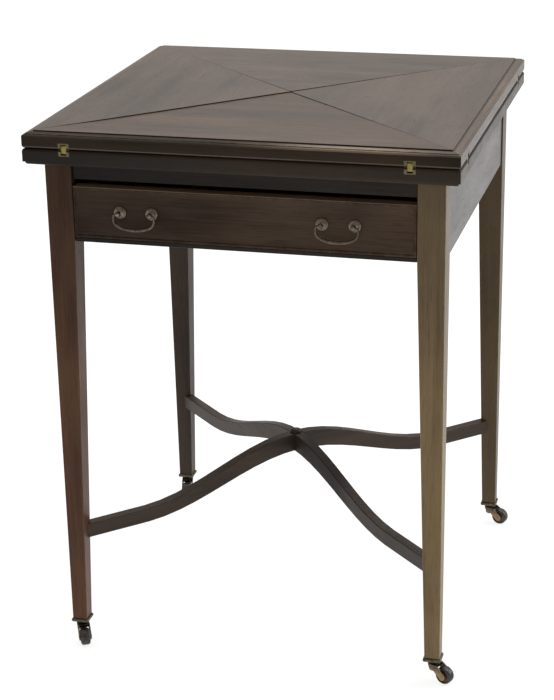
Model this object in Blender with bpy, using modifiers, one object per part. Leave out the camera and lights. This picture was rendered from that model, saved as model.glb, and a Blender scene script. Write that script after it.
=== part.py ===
"""Envelope card table, closed: a turning square top whose four hinged flaps meet at its middle, on a frame
with one drawer, four tapering legs, a waved cross stretcher and castors. Metres, +Z up, +X right, -Y front.
The origin is on the floor under the middle of the top."""

import math

import bmesh
import bpy
from mathutils import Matrix, Vector

# The whole
TOP_SIDE = 0.560
TOP_HEIGHT = 0.735
FIT = 0.0003  # clearance between pieces that seat on each other
OVERRUN = 0.004  # how far a cutter reaches past the face that it opens
ARRIS = 0.0007  # the softened edge of the woodwork

# Turning top
BED_THICK = 0.0213
FLAP_THICK = 0.0214
SEAM_INSET = 0.0038  # each hinge pin's distance from the edge and from the seam
MITRE_GAP = 0.0007
FLAT_INSET = 0.0120  # from the outer face to the step round the polished flat
STEP_DROP = 0.0015
LEDGE_FALL = 0.0014  # the moulded ledge outside the step slopes down by this
LEDGE_OUT = 0.0034  # from the outer face to the quirk below the ledge
QUIRK_DEPTH = 0.0008
NOSE_DROP = 0.0028
UNDER_LEDGE = 0.0028
UNDER_ROUND = 0.0031
UNDER_FILLET = 0.0010
BED_BORDER = 0.0150  # bare wood round the cloth
FLAP_BORDER = 0.0240
RECESS_DEPTH = 0.0014
CLOTH_THICK = 0.0008

# Card table hinges
HINGE_MARGIN = 0.0590  # from a corner of the top to a hinge, before the shift
HINGE_SHIFT = -0.0029  # each edge's hinges stand a little to the left of true
LINK_WIDTH = 0.0066
LINK_END = 0.0027
PIN_RADIUS = 0.0011
PIN_STUB = 0.0024

# Pivot
BOLT_RADIUS = 0.0050
BOLT_HEAD_RADIUS = 0.0130
BOLT_HEAD_THICK = 0.0030
WASHER_RADIUS = 0.0140
WASHER_THICK = 0.0016
NUT_RADIUS = 0.0095
NUT_THICK = 0.0065
BOLT_END = 0.0020

# Frame
LEG_INSET = 0.0210  # from the top's edge to the legs' outer faces
LEG_TOP = 0.0352
LEG_FOOT = 0.0206
FRIEZE_HEIGHT = 0.1047
RAIL_SETBACK = 0.0018
RAIL_THICK = 0.0200
TENON_THICK = 0.0080
TENON_LENGTH = 0.0130
TENON_SHOULDER = 0.0100
UPPER_RAIL_HEIGHT = 0.0224
UPPER_RAIL_SETBACK = 0.0045
LOWER_RAIL_THICK = 0.0060
LOWER_RAIL_DEPTH = 0.0420
LOWER_TENON_DEPTH = 0.0160
BOARD_THICK = 0.0190
BOARD_WIDTH = 0.1300
HOUSING_DEPTH = 0.0060
RUNNER_LEDGE = 0.0200
GUIDE_RISE = 0.0160

# Drawer
DRAWER_HEIGHT = 0.0675
DRAWER_BACK_GAP = 0.0407  # between the drawer and the back rail
DRAWER_GAP = 0.0008
DRAWER_SETBACK = 0.0005  # from the legs' front faces to the bead
FRONT_THICK = 0.0190
BEAD_WIDTH = 0.0030
BEAD_RISE = 0.0016
SIDE_THICK = 0.0090
SIDE_HEIGHT = 0.0540
SIDE_LAP = 0.0120
BACK_THICK = 0.0085
BACK_HEIGHT = 0.0400
BOTTOM_THICK = 0.0050
BOTTOM_RISE = 0.0060
GROOVE_DEPTH = 0.0040

# Handles
HANDLE_MARGIN = 0.0910  # from the drawer front's end to the middle of a handle, before the shift
HANDLE_SHIFT = -0.0075  # both handles stand a little to the left of true
HANDLE_HEIGHT = 0.0362  # the bail's pivots above the drawer's lower edge
POST_SPACING = 0.0420
POST_REACH = 0.0105
ROSETTE_RADIUS = 0.0082
ROSETTE_THICK = 0.0030
POST_NECK = 0.0023
POST_BALL = 0.0032
SHANK_RADIUS = 0.0019
SHANK_NUT_RADIUS = 0.0042
SHANK_NUT_THICK = 0.0030
BAIL_RADIUS = 0.0022
BAIL_DROP = 0.0200
BAIL_SPREAD = 0.0266  # from the handle's middle to the widest part of the bail
BAIL_SHOULDER_DROP = 0.0105
BAIL_TIP_SHARE = 0.62  # thickness of the bail's tips

# Stretcher
BAR_WIDTH = 0.0145
WAVE_REACH = 0.2500
BAR_UNDER_LOW = 0.1550
BAR_UNDER_RISE = 0.0525
BAR_OVER_LOW = 0.1755
BAR_OVER_RISE = 0.0585
BAR_END = 0.0100  # how far a bar runs past the legs' inner corner before it is cut to them
WAVE_POINTS = 14
CAP_RADIUS = 0.0080
CAP_HEIGHT = 0.0042
PEG_RADIUS = 0.0030
PEG_LENGTH = 0.0200

# Castors
CASTOR_HEIGHT = 0.0350
PLATE_BORDER = 0.0020  # past the leg's foot on each side
PLATE_THICK = 0.0050
STEM_RADIUS = 0.0040
STEM_LENGTH = 0.0300
PINTLE_RADIUS = 0.0022
PINTLE_HEAD_RADIUS = 0.0036
PINTLE_HEAD_THICK = 0.0011
NECK_RADIUS = 0.0062
NECK_RING = 0.0010
NECK_HEIGHT = 0.0150
NECK_BASE = 0.0054  # the neck's radius below the crown
CROWN_DROP = 0.0085  # from the top of the neck to the underside of the crown
CROWN_THICK = 0.0046
HORN_THICK = 0.0018
HORN_END = 0.0040
WHEEL_RADIUS = 0.0120
WHEEL_WIDTH = 0.0125
WHEEL_GAP = 0.0005
WHEEL_FACETS = 20
TREAD_ROUND = 0.0016
HUB_RADIUS = 0.0050
HUB_DISH = 0.0008
AXLE_RADIUS = 0.0016
CASTOR_TRAIL = 0.0190
CASTOR_TURNS = {"front_left": -62.0, "front_right": -24.0, "back_right": -18.0, "back_left": -77.0}

# Levels and places that follow
HALF = TOP_SIDE / 2
FLAP_UNDER = TOP_HEIGHT - FLAP_THICK
BED_TOP = FLAP_UNDER - FIT
BED_UNDER = BED_TOP - BED_THICK
FRAME_TOP = BED_UNDER - FIT
FRIEZE_UNDER = FRAME_TOP - FRIEZE_HEIGHT
LEG_OUTER = HALF - LEG_INSET
LEG_INNER = LEG_OUTER - LEG_TOP
RAIL_OUTER = LEG_OUTER - RAIL_SETBACK
RAIL_INNER = RAIL_OUTER - RAIL_THICK
RUNNER_TOP = FRIEZE_UNDER + LOWER_RAIL_THICK
DRAWER_UNDER = RUNNER_TOP + FIT
DRAWER_HALF = LEG_INNER - DRAWER_GAP
DRAWER_FACE = -LEG_OUTER + DRAWER_SETBACK
PANEL_FACE = DRAWER_FACE + BEAD_RISE
BOARD_UNDER = FRAME_TOP - BOARD_THICK
PIN_LOW = BED_TOP - SEAM_INSET
PIN_HIGH = FLAP_UNDER + SEAM_INSET
PIN_OUT = HALF - SEAM_INSET
HINGE_PLACE = HALF - HINGE_MARGIN
CORNERS = {"front_left": (-1, -1), "front_right": (1, -1), "back_right": (1, 1), "back_left": (-1, 1)}
SIDES = {"front": 0.0, "right": 90.0, "back": 180.0, "left": 270.0}
EDGE_ON = Matrix(((0, 0, 1), (1, 0, 0), (0, 1, 0)))  # a flat outline's x, y and depth become Y, Z and X
ROUND = 14  # sides of a small turned piece
BORE_SIDES = 12
FLAT_ANGLE = 0.001
ARC_STEPS = 4


def clear_scene():
    for thing in list(bpy.data.objects):
        bpy.data.objects.remove(thing, do_unlink=True)


def collection(name, hidden=False):
    made = bpy.data.collections.new(name)
    bpy.context.scene.collection.children.link(made)
    made.hide_render = hidden
    return made


def material(name, colour, roughness, metallic=0.0):
    made = bpy.data.materials.new(name)
    made.use_nodes = True
    shader = made.node_tree.nodes["Principled BSDF"]
    shader.inputs["Base Color"].default_value = (*colour, 1.0)
    shader.inputs["Roughness"].default_value = roughness
    shader.inputs["Metallic"].default_value = metallic
    return made


clear_scene()
PARTS = collection("envelope_card_table")
TOOLS = collection("cutters", hidden=True)
MAHOGANY = material("mahogany", (0.105, 0.052, 0.030), 0.32)
VENEER = material("top_veneer", (0.150, 0.085, 0.055), 0.25)
PINE = material("drawer_lining", (0.420, 0.290, 0.160), 0.60)
BAIZE = material("baize", (0.030, 0.130, 0.060), 0.95)
HINGE_BRASS = material("hinge_brass", (0.560, 0.430, 0.170), 0.35, 1.0)
DARK_BRASS = material("aged_brass", (0.190, 0.130, 0.070), 0.42, 1.0)
IRON = material("pivot_iron", (0.120, 0.115, 0.110), 0.50, 1.0)
ROLLER = material("castor_wheel", (0.055, 0.045, 0.040), 0.45)


# Shapes

def add(name, mesh, surface, place=(0, 0, 0), turn=0.0, tool=False):
    made = bpy.data.objects.new(name, mesh)
    (TOOLS if tool else PARTS).objects.link(made)
    made.location = place
    made.rotation_euler.z = math.radians(turn)
    if tool:
        made.hide_render = True
        made.display_type = "WIRE"
    elif not mesh.materials:
        mesh.materials.append(surface)
    return made


def mesh_of(name, build):
    shape = bmesh.new()
    build(shape)
    mesh = bpy.data.meshes.new(name)
    bmesh.ops.recalc_face_normals(shape, faces=shape.faces)
    shape.to_mesh(mesh)
    shape.free()
    return mesh


def box(name, low, high, surface=None, tool=False, arris=0.0):
    low, high = Vector(low), Vector(high)

    def build(shape):
        bmesh.ops.create_cube(shape, size=1.0, matrix=Matrix.Diagonal((*(high - low), 1.0)))

    made = add(name, mesh_of(name, build), surface, (low + high) / 2, tool=tool)
    if arris:
        soften(made, arris)
    return made


def grown(name, low, high, by=FIT):
    """A cutter that clears a box on every side."""
    edge = Vector((by, by, by))
    return box(name, Vector(low) - edge, Vector(high) + edge, tool=True)


def cylinder(name, radius, start, end, surface=None, tool=False, sides=ROUND):
    start, end = Vector(start), Vector(end)
    along = end - start

    def build(shape):
        bmesh.ops.create_cone(shape, cap_ends=True, segments=sides, radius1=radius, radius2=radius,
                              depth=along.length, matrix=along.to_track_quat("Z", "Y").to_matrix().to_4x4())

    return add(name, mesh_of(name, build), surface, (start + end) / 2, tool=tool)


def bore(name, radius, start, end, sides=BORE_SIDES):
    """A cutter for a hole that clears a round piece of this radius all round."""
    return cylinder(name, (radius + FIT) / math.cos(math.pi / sides), start, end, tool=True, sides=sides)


def soften(made, width, steps=1):
    bevel = made.modifiers.new("arris", "BEVEL")
    bevel.width = width
    bevel.segments = steps
    bevel.limit_method = "ANGLE"
    bevel.angle_limit = math.radians(50)
    bevel.harden_normals = False
    return made


def combine(made, tool, how="DIFFERENCE"):
    step = made.modifiers.new(tool.name, "BOOLEAN")
    step.operation = how
    step.object = tool
    step.solver = "EXACT"
    return made


def baked(made):
    """The mesh of an object as its modifiers leave it."""
    bpy.context.view_layer.update()
    seen = made.evaluated_get(bpy.context.evaluated_depsgraph_get())
    return bpy.data.meshes.new_from_object(seen)


def settle(made):
    """Replaces an object's mesh by its finished shape."""
    mesh = baked(made)
    made.modifiers.clear()
    made.data = mesh
    return made


def smooth(made, angle=35.0):
    made.data.shade_smooth()
    made.data.set_sharp_from_angle(angle=math.radians(angle))
    return made


def outline(name, points, thickness, surface=None, tool=False, frame=EDGE_ON):
    """A flat outline with a thickness, turned by frame."""
    curve = bpy.data.curves.new(name, "CURVE")
    curve.dimensions = "2D"
    curve.fill_mode = "BOTH"
    curve.extrude = thickness / 2
    line = curve.splines.new("POLY")
    line.points.add(len(points) - 1)
    for spot, (x, y) in zip(line.points, points):
        spot.co = (x, y, 0.0, 1.0)
    line.use_cyclic_u = True
    drawn = bpy.data.objects.new(name, curve)
    TOOLS.objects.link(drawn)
    mesh = baked(drawn)
    bpy.data.objects.remove(drawn)
    shape = bmesh.new()
    shape.from_mesh(mesh)
    bmesh.ops.remove_doubles(shape, verts=shape.verts, dist=FIT / 100)
    bmesh.ops.dissolve_limit(shape, angle_limit=FLAT_ANGLE, verts=shape.verts, edges=shape.edges)
    shape.transform(frame.to_4x4())
    bmesh.ops.recalc_face_normals(shape, faces=shape.faces)
    shape.to_mesh(mesh)
    shape.free()
    return add(name, mesh, surface, tool=tool)


def turned(name, profile, surface=None, tool=False, steps=ROUND, axis="Z", rounded=True):
    """A turned piece: profile is (radius, height) down its outer side, from the axis to the axis."""
    mesh = bpy.data.meshes.new(name)
    rows = [(radius, 0.0, height) for radius, height in profile]
    mesh.from_pydata(rows, [(i, i + 1) for i in range(len(rows) - 1)], [])
    made = add(name, mesh, surface, tool=tool)
    screw = made.modifiers.new("turning", "SCREW")
    screw.steps = screw.render_steps = steps
    screw.use_merge_vertices = True
    screw.merge_threshold = FIT / 30
    screw.use_smooth_shade = rounded
    settle(made)
    if axis != "Z":
        tilt = {"X": Matrix.Rotation(math.pi / 2, 4, "Y"), "Y": Matrix.Rotation(math.pi / 2, 4, "X")}[axis]
        made.data.transform(tilt)
    return smooth(made) if rounded else made


def arc(centre, radius, start, end, steps=ARC_STEPS):
    """Points of an arc, angles in degrees."""
    spots = []
    for i in range(steps + 1):
        angle = math.radians(start + (end - start) * i / steps)
        spots.append((centre[0] + radius * math.cos(angle), centre[1] + radius * math.sin(angle)))
    return spots


# Turning top

def flap_profile():
    """The flap's section from its outer face inwards; the first number is inwards, the second is up."""
    step_foot = FLAP_THICK - STEP_DROP
    ledge = step_foot - LEDGE_FALL
    nose_top = ledge - QUIRK_DEPTH
    width = FLAT_INSET - LEDGE_OUT
    spots = [(HALF, 0.0)]
    spots += arc((SEAM_INSET, SEAM_INSET), SEAM_INSET, 270, 180)
    spots += [(LEDGE_OUT * (1 + x), nose_top + NOSE_DROP * (z - 1)) for x, z in arc((0, 0), 1, 180, 90)]
    spots += [(LEDGE_OUT, ledge), (LEDGE_OUT + width / 3, ledge + LEDGE_FALL / 2)]
    spots += [(LEDGE_OUT + 2 * width / 3, step_foot - LEDGE_FALL / 8), (FLAT_INSET, step_foot)]
    spots += [(FLAT_INSET, FLAP_THICK), (HALF, FLAP_THICK)]
    return spots


def hinge_cutters(tag, middle_y, pin_z, opens):
    """Slots and pin holes for the two links of one edge; opens is the way from the pins to the seam."""
    tools = []
    reach = LINK_END + FIT
    for side in (-1, 1):
        x = side * HINGE_PLACE + HINGE_SHIFT
        half = LINK_WIDTH / 2 + FIT
        seam = pin_z + opens * (SEAM_INSET + OVERRUN)
        inner = pin_z - opens * reach
        low = (x - half, middle_y - SEAM_INSET - OVERRUN, min(seam, inner))
        high = (x + half, middle_y + reach, max(seam, inner))
        tools.append(box(f"{tag}_slot_{side}", low, high, tool=True))
        hole = half + PIN_STUB
        tools.append(bore(f"{tag}_bore_{side}", PIN_RADIUS, (x - hole, middle_y, pin_z), (x + hole, middle_y, pin_z)))
    return tools


def make_flaps():
    """Four triangular flaps that share one mesh, each with its origin on its upper hinge pins."""
    base = outline("flap_front", [(-HALF + y, FLAP_UNDER + z) for y, z in flap_profile()], TOP_SIDE, VENEER)
    trim = MITRE_GAP / math.sqrt(2)
    long = HALF + OVERRUN
    triangle = [(-long + trim, -long), (long - trim, -long), (0.0, -trim)]
    wedge = outline("mitres", triangle, TOP_HEIGHT * 2, tool=True, frame=Matrix.Identity(3))
    combine(base, wedge, "INTERSECT")
    inset = FLAP_BORDER * math.sqrt(2)
    edge = -HALF + BED_BORDER
    half = -edge - inset
    cloth = [(-half, edge), (half, edge), (0.0, -inset)]
    recess = outline("flap_recess", cloth, 2 * RECESS_DEPTH, tool=True, frame=Matrix.Identity(3))
    recess.location.z = FLAP_UNDER
    combine(base, recess)
    for tool in hinge_cutters("flap", -PIN_OUT, PIN_HIGH, -1):
        combine(base, tool)
    settle(base)
    base.data.transform(Matrix.Translation((0, PIN_OUT, -PIN_HIGH)))
    share_round("flap", base)
    shrink = FIT * math.sqrt(2) + FIT
    covering = [(-half + shrink, edge + FIT), (half - shrink, edge + FIT), (0.0, -inset - FIT * math.sqrt(2))]
    sheet = outline("flap_baize_front", covering, CLOTH_THICK, BAIZE, frame=Matrix.Identity(3))
    lift = FLAP_UNDER + RECESS_DEPTH - FIT - CLOTH_THICK / 2
    sheet.data.transform(Matrix.Translation((0, PIN_OUT, lift - PIN_HIGH)))
    share_round("flap_baize", sheet)


def share_round(stem, base):
    """Places a front piece and three copies of it round the table's four edges."""
    for side, turn in SIDES.items():
        made = base if side == "front" else add(f"{stem}_{side}", base.data, None)
        made.location = Matrix.Rotation(math.radians(turn), 3, "Z") @ Vector((0, -PIN_OUT, PIN_HIGH))
        made.rotation_euler.z = math.radians(turn)


def make_bed():
    """The square board under the flaps, with a moulded lower edge."""
    spots = [(0.0, BED_TOP)]
    spots += [(HALF - y, BED_TOP + z) for y, z in arc((SEAM_INSET, -SEAM_INSET), SEAM_INSET, 90, 180)]
    ledge = BED_UNDER + UNDER_ROUND + UNDER_FILLET
    spots += [(HALF, ledge), (HALF - UNDER_LEDGE, ledge)]
    middle = (UNDER_LEDGE + UNDER_ROUND, UNDER_ROUND)
    spots += [(HALF - y, BED_UNDER + z) for y, z in arc(middle, UNDER_ROUND, 180, 270)]
    spots.append((0.0, BED_UNDER))
    corner = math.sqrt(2)
    square = [(radius * corner, height) for radius, height in spots]
    bed = turned("top_bed", square, VENEER, steps=4, rounded=False)
    bed.data.transform(Matrix.Rotation(math.radians(45), 4, "Z"))
    cloth = HALF - BED_BORDER
    combine(bed, box("bed_recess", (-cloth, -cloth, BED_TOP - RECESS_DEPTH), (cloth, cloth, TOP_HEIGHT), tool=True))
    seat = BED_TOP - RECESS_DEPTH - BOLT_HEAD_THICK - FIT
    combine(bed, bore("head_seat", BOLT_HEAD_RADIUS, (0, 0, seat), (0, 0, TOP_HEIGHT), ROUND))
    combine(bed, bore("bed_hole", BOLT_RADIUS, (0, 0, FRIEZE_UNDER), (0, 0, TOP_HEIGHT), ROUND))
    for turn in SIDES.values():
        for tool in hinge_cutters(f"bed_{turn:.0f}", -PIN_OUT, PIN_LOW, 1):
            tool.matrix_world = Matrix.Rotation(math.radians(turn), 4, "Z") @ Matrix.Translation(tool.location) \
                @ tool.rotation_euler.to_matrix().to_4x4()
            combine(bed, tool)
    edge = cloth - FIT
    low = BED_TOP - RECESS_DEPTH + FIT
    box("bed_baize", (-edge, -edge, low), (edge, edge, low + CLOTH_THICK), BAIZE)


def make_links():
    """The brass links of the double-pinned hinges: each turns on a pin in the bed and carries one in the flap."""
    gap = PIN_HIGH - PIN_LOW
    ends = arc((0.0, 0.0), LINK_END, 180, 360) + arc((0.0, gap), LINK_END, 0, 180)
    plate = outline("hinge_link_front_left", ends, LINK_WIDTH, HINGE_BRASS)
    long = LINK_WIDTH / 2 + PIN_STUB
    for z in (0.0, gap):
        pin = cylinder(f"link_pin_{z:.3f}", PIN_RADIUS, (-long, 0, z), (long, 0, z), tool=True, sides=BORE_SIDES)
        combine(plate, pin, "UNION")
    settle(plate)
    smooth(plate)
    for side, turn in SIDES.items():
        for hand, sign in (("left", -1), ("right", 1)):
            name = f"hinge_link_{side}_{hand}"
            made = plate if name == plate.name else add(name, plate.data, None)
            spot = Vector((sign * HINGE_PLACE + HINGE_SHIFT, -PIN_OUT, PIN_LOW))
            made.location = Matrix.Rotation(math.radians(turn), 3, "Z") @ spot
            made.rotation_euler.z = math.radians(turn)


def make_pivot():
    """The bolt that the top turns on, with its washer and nut under the bearer board."""
    head_top = BED_TOP - RECESS_DEPTH
    nut_top = BOARD_UNDER - WASHER_THICK - 2 * FIT
    tip = nut_top - NUT_THICK - BOLT_END
    head_under = head_top - BOLT_HEAD_THICK
    turned("pivot_bolt", [(0, head_top), (BOLT_HEAD_RADIUS, head_top), (BOLT_HEAD_RADIUS, head_under),
                          (BOLT_RADIUS, head_under), (BOLT_RADIUS, tip), (0, tip)], IRON)
    for name, radius, top, thick, sides in (("pivot_washer", WASHER_RADIUS, BOARD_UNDER - FIT, WASHER_THICK, ROUND),
                                            ("pivot_nut", NUT_RADIUS, nut_top, NUT_THICK, 6)):
        ring = cylinder(name, radius, (0, 0, top - thick), (0, 0, top), IRON, sides=sides)
        hole = bore(f"{name}_bore", BOLT_RADIUS, (0, 0, top - thick - OVERRUN), (0, 0, top + OVERRUN), ROUND)
        settle(combine(ring, hole))


# Frame

def leg_mesh(name, sx, sy, spare=0.0):
    """A leg square to its corner: outer faces upright, inner faces tapering below the frieze."""
    def build(shape):
        bmesh.ops.create_cube(shape, size=1.0)
        for spot in shape.verts:
            foot = spot.co.z < 0
            spot.co.z = CASTOR_HEIGHT if foot else FRAME_TOP
        edges = [edge for edge in shape.edges]
        bmesh.ops.bisect_plane(shape, geom=shape.verts[:] + edges + shape.faces[:],
                               plane_co=(0, 0, FRIEZE_UNDER), plane_no=(0, 0, 1))
        for spot in shape.verts:
            wide = (LEG_FOOT if spot.co.z < FRIEZE_UNDER - FIT else LEG_TOP) + spare
            for axis, sign in ((0, sx), (1, sy)):
                outer = spot.co[axis] * sign > 0
                spot.co[axis] = sign * ((LEG_OUTER + spare) if outer else (LEG_OUTER - wide))

    return mesh_of(name, build)


def make_rail(name, low, high, tongue_low, tongue_high, legs):
    """A rail with a tongue at each end; the legs it meets are mortised for the tongues."""
    rail = box(name, low, high, MAHOGANY, arris=ARRIS)
    combine(rail, box(f"{name}_tongue", tongue_low, tongue_high, tool=True), "UNION")
    mortise = grown(f"{name}_mortise", tongue_low, tongue_high)
    for leg in legs:
        combine(leg, mortise)
    return settle(rail)


def make_frame():
    legs = {}
    for corner, (sx, sy) in CORNERS.items():
        leg = add(f"leg_{corner}", leg_mesh(f"leg_{corner}", sx, sy), MAHOGANY)
        legs[corner] = soften(leg, ARRIS)
    edge = LEG_INNER - FIT
    tongue = LEG_INNER + TENON_LENGTH
    middle = RAIL_OUTER - RAIL_THICK / 2
    near, far = middle - TENON_THICK / 2, middle + TENON_THICK / 2
    low, high = FRIEZE_UNDER + TENON_SHOULDER, FRAME_TOP - TENON_SHOULDER
    rails = {}
    for side, sign in (("left", -1), ("right", 1)):
        inner, outer = sorted((sign * RAIL_INNER, sign * RAIL_OUTER))
        slim, wide = sorted((sign * near, sign * far))
        rails[side] = make_rail(f"side_rail_{side}", (inner, -edge, FRIEZE_UNDER), (outer, edge, FRAME_TOP),
                                (slim, -tongue, low), (wide, tongue, high),
                                (legs[f"front_{side}"], legs[f"back_{side}"]))
    make_rail("back_rail", (-edge, RAIL_INNER, FRIEZE_UNDER), (edge, RAIL_OUTER, FRAME_TOP),
              (-tongue, near, low), (tongue, far, high), (legs["back_left"], legs["back_right"]))
    front = (legs["front_left"], legs["front_right"])
    face = -LEG_OUTER + UPPER_RAIL_SETBACK
    upper = FRAME_TOP - UPPER_RAIL_HEIGHT
    slim = face + (RAIL_THICK - TENON_THICK) / 2
    notch = UPPER_RAIL_HEIGHT / 5
    make_rail("front_rail_upper", (-edge, face, upper), (edge, face + RAIL_THICK, FRAME_TOP),
              (-tongue, slim, upper + notch), (tongue, slim + TENON_THICK, FRAME_TOP - notch), front)
    lower = -LEG_OUTER + RAIL_SETBACK
    slim = lower + TENON_THICK / 2
    make_rail("front_rail_lower", (-edge, lower, FRIEZE_UNDER), (edge, lower + LOWER_RAIL_DEPTH, RUNNER_TOP),
              (-tongue, slim, FRIEZE_UNDER + ARRIS), (tongue, slim + LOWER_TENON_DEPTH, RUNNER_TOP - ARRIS), front)
    make_bearer(rails)
    make_runners(lower + LOWER_RAIL_DEPTH)
    return legs


def make_bearer(rails):
    """The board across the frame that carries the pivot, housed in the side rails."""
    reach = RAIL_INNER + HOUSING_DEPTH
    low = (-reach, -BOARD_WIDTH / 2, BOARD_UNDER)
    high = (reach, BOARD_WIDTH / 2, FRAME_TOP)
    board = box("pivot_board", low, high, PINE)
    hole = bore("board_hole", BOLT_RADIUS, (0, 0, BOARD_UNDER - OVERRUN), (0, 0, FRAME_TOP + OVERRUN), ROUND)
    settle(combine(board, hole))
    housing = grown("bearer_housing", low, high)
    for rail in rails.values():
        settle(combine(rail, housing))


def make_runners(start):
    """Drawer runners: a ledge under each drawer side and a guide beside it."""
    inner = DRAWER_HALF + DRAWER_GAP
    ledge = RAIL_INNER - FIT - RUNNER_LEDGE - (RAIL_INNER - inner)
    outer = RAIL_INNER - FIT
    section = [(ledge, FRIEZE_UNDER), (outer, FRIEZE_UNDER), (outer, RUNNER_TOP + GUIDE_RISE), (inner, RUNNER_TOP + GUIDE_RISE),
               (inner, RUNNER_TOP), (ledge, RUNNER_TOP)]
    front, back = start + FIT, LEG_INNER - FIT
    along = Matrix(((1, 0, 0), (0, 0, -1), (0, 1, 0)))
    for side, sign in (("left", -1), ("right", 1)):
        spots = [(sign * x, z) for x, z in section]
        runner = outline(f"drawer_runner_{side}", spots, back - front, PINE, frame=along)
        runner.location.y = (front + back) / 2


# Drawer

def make_drawer():
    top = DRAWER_UNDER + DRAWER_HEIGHT
    face_back = DRAWER_FACE + FRONT_THICK
    rear = RAIL_INNER - DRAWER_BACK_GAP
    front = box("drawer_front", (-DRAWER_HALF, DRAWER_FACE, DRAWER_UNDER), (DRAWER_HALF, face_back, top), MAHOGANY)
    inner = DRAWER_HALF - BEAD_WIDTH
    combine(front, box("drawer_panel", (-inner, DRAWER_FACE - OVERRUN, DRAWER_UNDER + BEAD_WIDTH),
                       (inner, PANEL_FACE, top - BEAD_WIDTH), tool=True))
    soften(front, ARRIS)
    side_top = DRAWER_UNDER + SIDE_HEIGHT
    side_front = face_back - SIDE_LAP
    floor = DRAWER_UNDER + BOTTOM_RISE
    grooved = DRAWER_HALF - SIDE_THICK + GROOVE_DEPTH
    bottom_low = (-grooved, face_back - GROOVE_DEPTH, floor)
    bottom_high = (grooved, rear - FIT, floor + BOTTOM_THICK)
    box("drawer_bottom", bottom_low, bottom_high, PINE)
    groove = grown("bottom_groove", bottom_low, bottom_high)
    combine(front, groove)
    for side, sign in (("left", -1), ("right", 1)):
        near, far = sorted((sign * DRAWER_HALF, sign * (DRAWER_HALF - SIDE_THICK)))
        low, high = (near, side_front, DRAWER_UNDER), (far, rear, side_top)
        combine(front, grown(f"side_lap_{side}", low, high))
        settle(combine(box(f"drawer_side_{side}", low, high, PINE), groove))
    between = DRAWER_HALF - SIDE_THICK - FIT
    back_low = floor + BOTTOM_THICK + FIT
    box("drawer_back", (-between, rear - BACK_THICK - FIT, back_low), (between, rear - FIT, back_low + BACK_HEIGHT),
        PINE)
    make_handles(front, face_back)
    settle(front)


def post_profile(panel, inside):
    """A handle post from the tip of its ball to the nut inside the drawer, heights measured outwards."""
    ball = POST_REACH
    spots = [(radius, ball + rise) for radius, rise in arc((0.0, 0.0), POST_BALL, 90, -40)]
    spots += [(POST_NECK, ROSETTE_THICK + POST_NECK / 2), (POST_NECK * 1.4, ROSETTE_THICK)]
    spots += [(ROSETTE_RADIUS * 0.55, ROSETTE_THICK * 0.80), (ROSETTE_RADIUS * 0.80, ROSETTE_THICK * 0.75)]
    spots += [(ROSETTE_RADIUS, ROSETTE_THICK * 0.35), (ROSETTE_RADIUS, FIT), (SHANK_RADIUS, FIT)]
    depth = -(inside - panel) - FIT
    spots += [(SHANK_RADIUS, depth), (SHANK_NUT_RADIUS, depth), (SHANK_NUT_RADIUS, depth - SHANK_NUT_THICK)]
    return [(max(radius, 0.0), rise) for radius, rise in spots] + [(0.0, depth - SHANK_NUT_THICK)]


def bail_points():
    """The hanging bail: in at one post, out round the shoulder, down to the middle and up again."""
    eye = POST_SPACING / 2
    half = [(-eye + POST_BALL * 0.95, 0.0, BAIL_TIP_SHARE), (-eye, 0.0, BAIL_TIP_SHARE),
            (-BAIL_SPREAD * 0.985, 0.0, BAIL_TIP_SHARE), (-BAIL_SPREAD, -BAIL_SHOULDER_DROP * 0.42, 0.75),
            (-BAIL_SPREAD, -BAIL_SHOULDER_DROP, 0.85), (-BAIL_SPREAD * 0.80, -BAIL_DROP * 0.78, 0.95),
            (-BAIL_SPREAD * 0.42, -BAIL_DROP * 0.96, 1.05)]
    return half + [(0.0, -BAIL_DROP, 1.15)] + [(-x, z, size) for x, z, size in reversed(half)]


def make_bail(name, place):
    curve = bpy.data.curves.new(name, "CURVE")
    curve.dimensions = "3D"
    curve.bevel_depth = BAIL_RADIUS
    curve.bevel_resolution = 1
    curve.resolution_u = 3
    curve.use_fill_caps = True
    line = curve.splines.new("NURBS")
    spots = bail_points()
    line.points.add(len(spots) - 1)
    for spot, (x, z, size) in zip(line.points, spots):
        spot.co = (x, 0.0, z, 1.0)
        spot.radius = size
    line.order_u = 3
    line.use_endpoint_u = True
    drawn = bpy.data.objects.new(name, curve)
    TOOLS.objects.link(drawn)
    mesh = baked(drawn)
    bpy.data.objects.remove(drawn)
    shape = bmesh.new()
    shape.from_mesh(mesh)
    bmesh.ops.remove_doubles(shape, verts=shape.verts, dist=FIT / 10)
    bmesh.ops.recalc_face_normals(shape, faces=shape.faces)
    shape.to_mesh(mesh)
    shape.free()
    return smooth(add(name, mesh, DARK_BRASS, place), 60.0)


def make_handles(front, inside):
    """Two hanging bail handles on turned posts that pass through the drawer front."""
    height = DRAWER_UNDER + HANDLE_HEIGHT
    for hand, sign in (("left", -1), ("right", 1)):
        middle = sign * (DRAWER_HALF - HANDLE_MARGIN) + HANDLE_SHIFT
        place = Vector((middle, PANEL_FACE - POST_REACH, height))
        for end, way in (("left", -1), ("right", 1)):
            x = middle + way * POST_SPACING / 2
            name = f"handle_{hand}_post_{end}"
            post = turned(name, post_profile(PANEL_FACE, inside), DARK_BRASS, axis="Y")
            post.location = (x, PANEL_FACE, height)
            eye = bore(f"{name}_eye", BAIL_RADIUS * BAIL_TIP_SHARE, (x - POST_BALL - OVERRUN, place.y, height),
                       (x + POST_BALL + OVERRUN, place.y, height))
            settle(combine(post, eye))
            combine(front, bore(f"{name}_hole", SHANK_RADIUS, (x, PANEL_FACE - OVERRUN, height),
                                (x, inside + OVERRUN, height)))
        make_bail(f"handle_{hand}_bail", place)


# Stretcher

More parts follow.
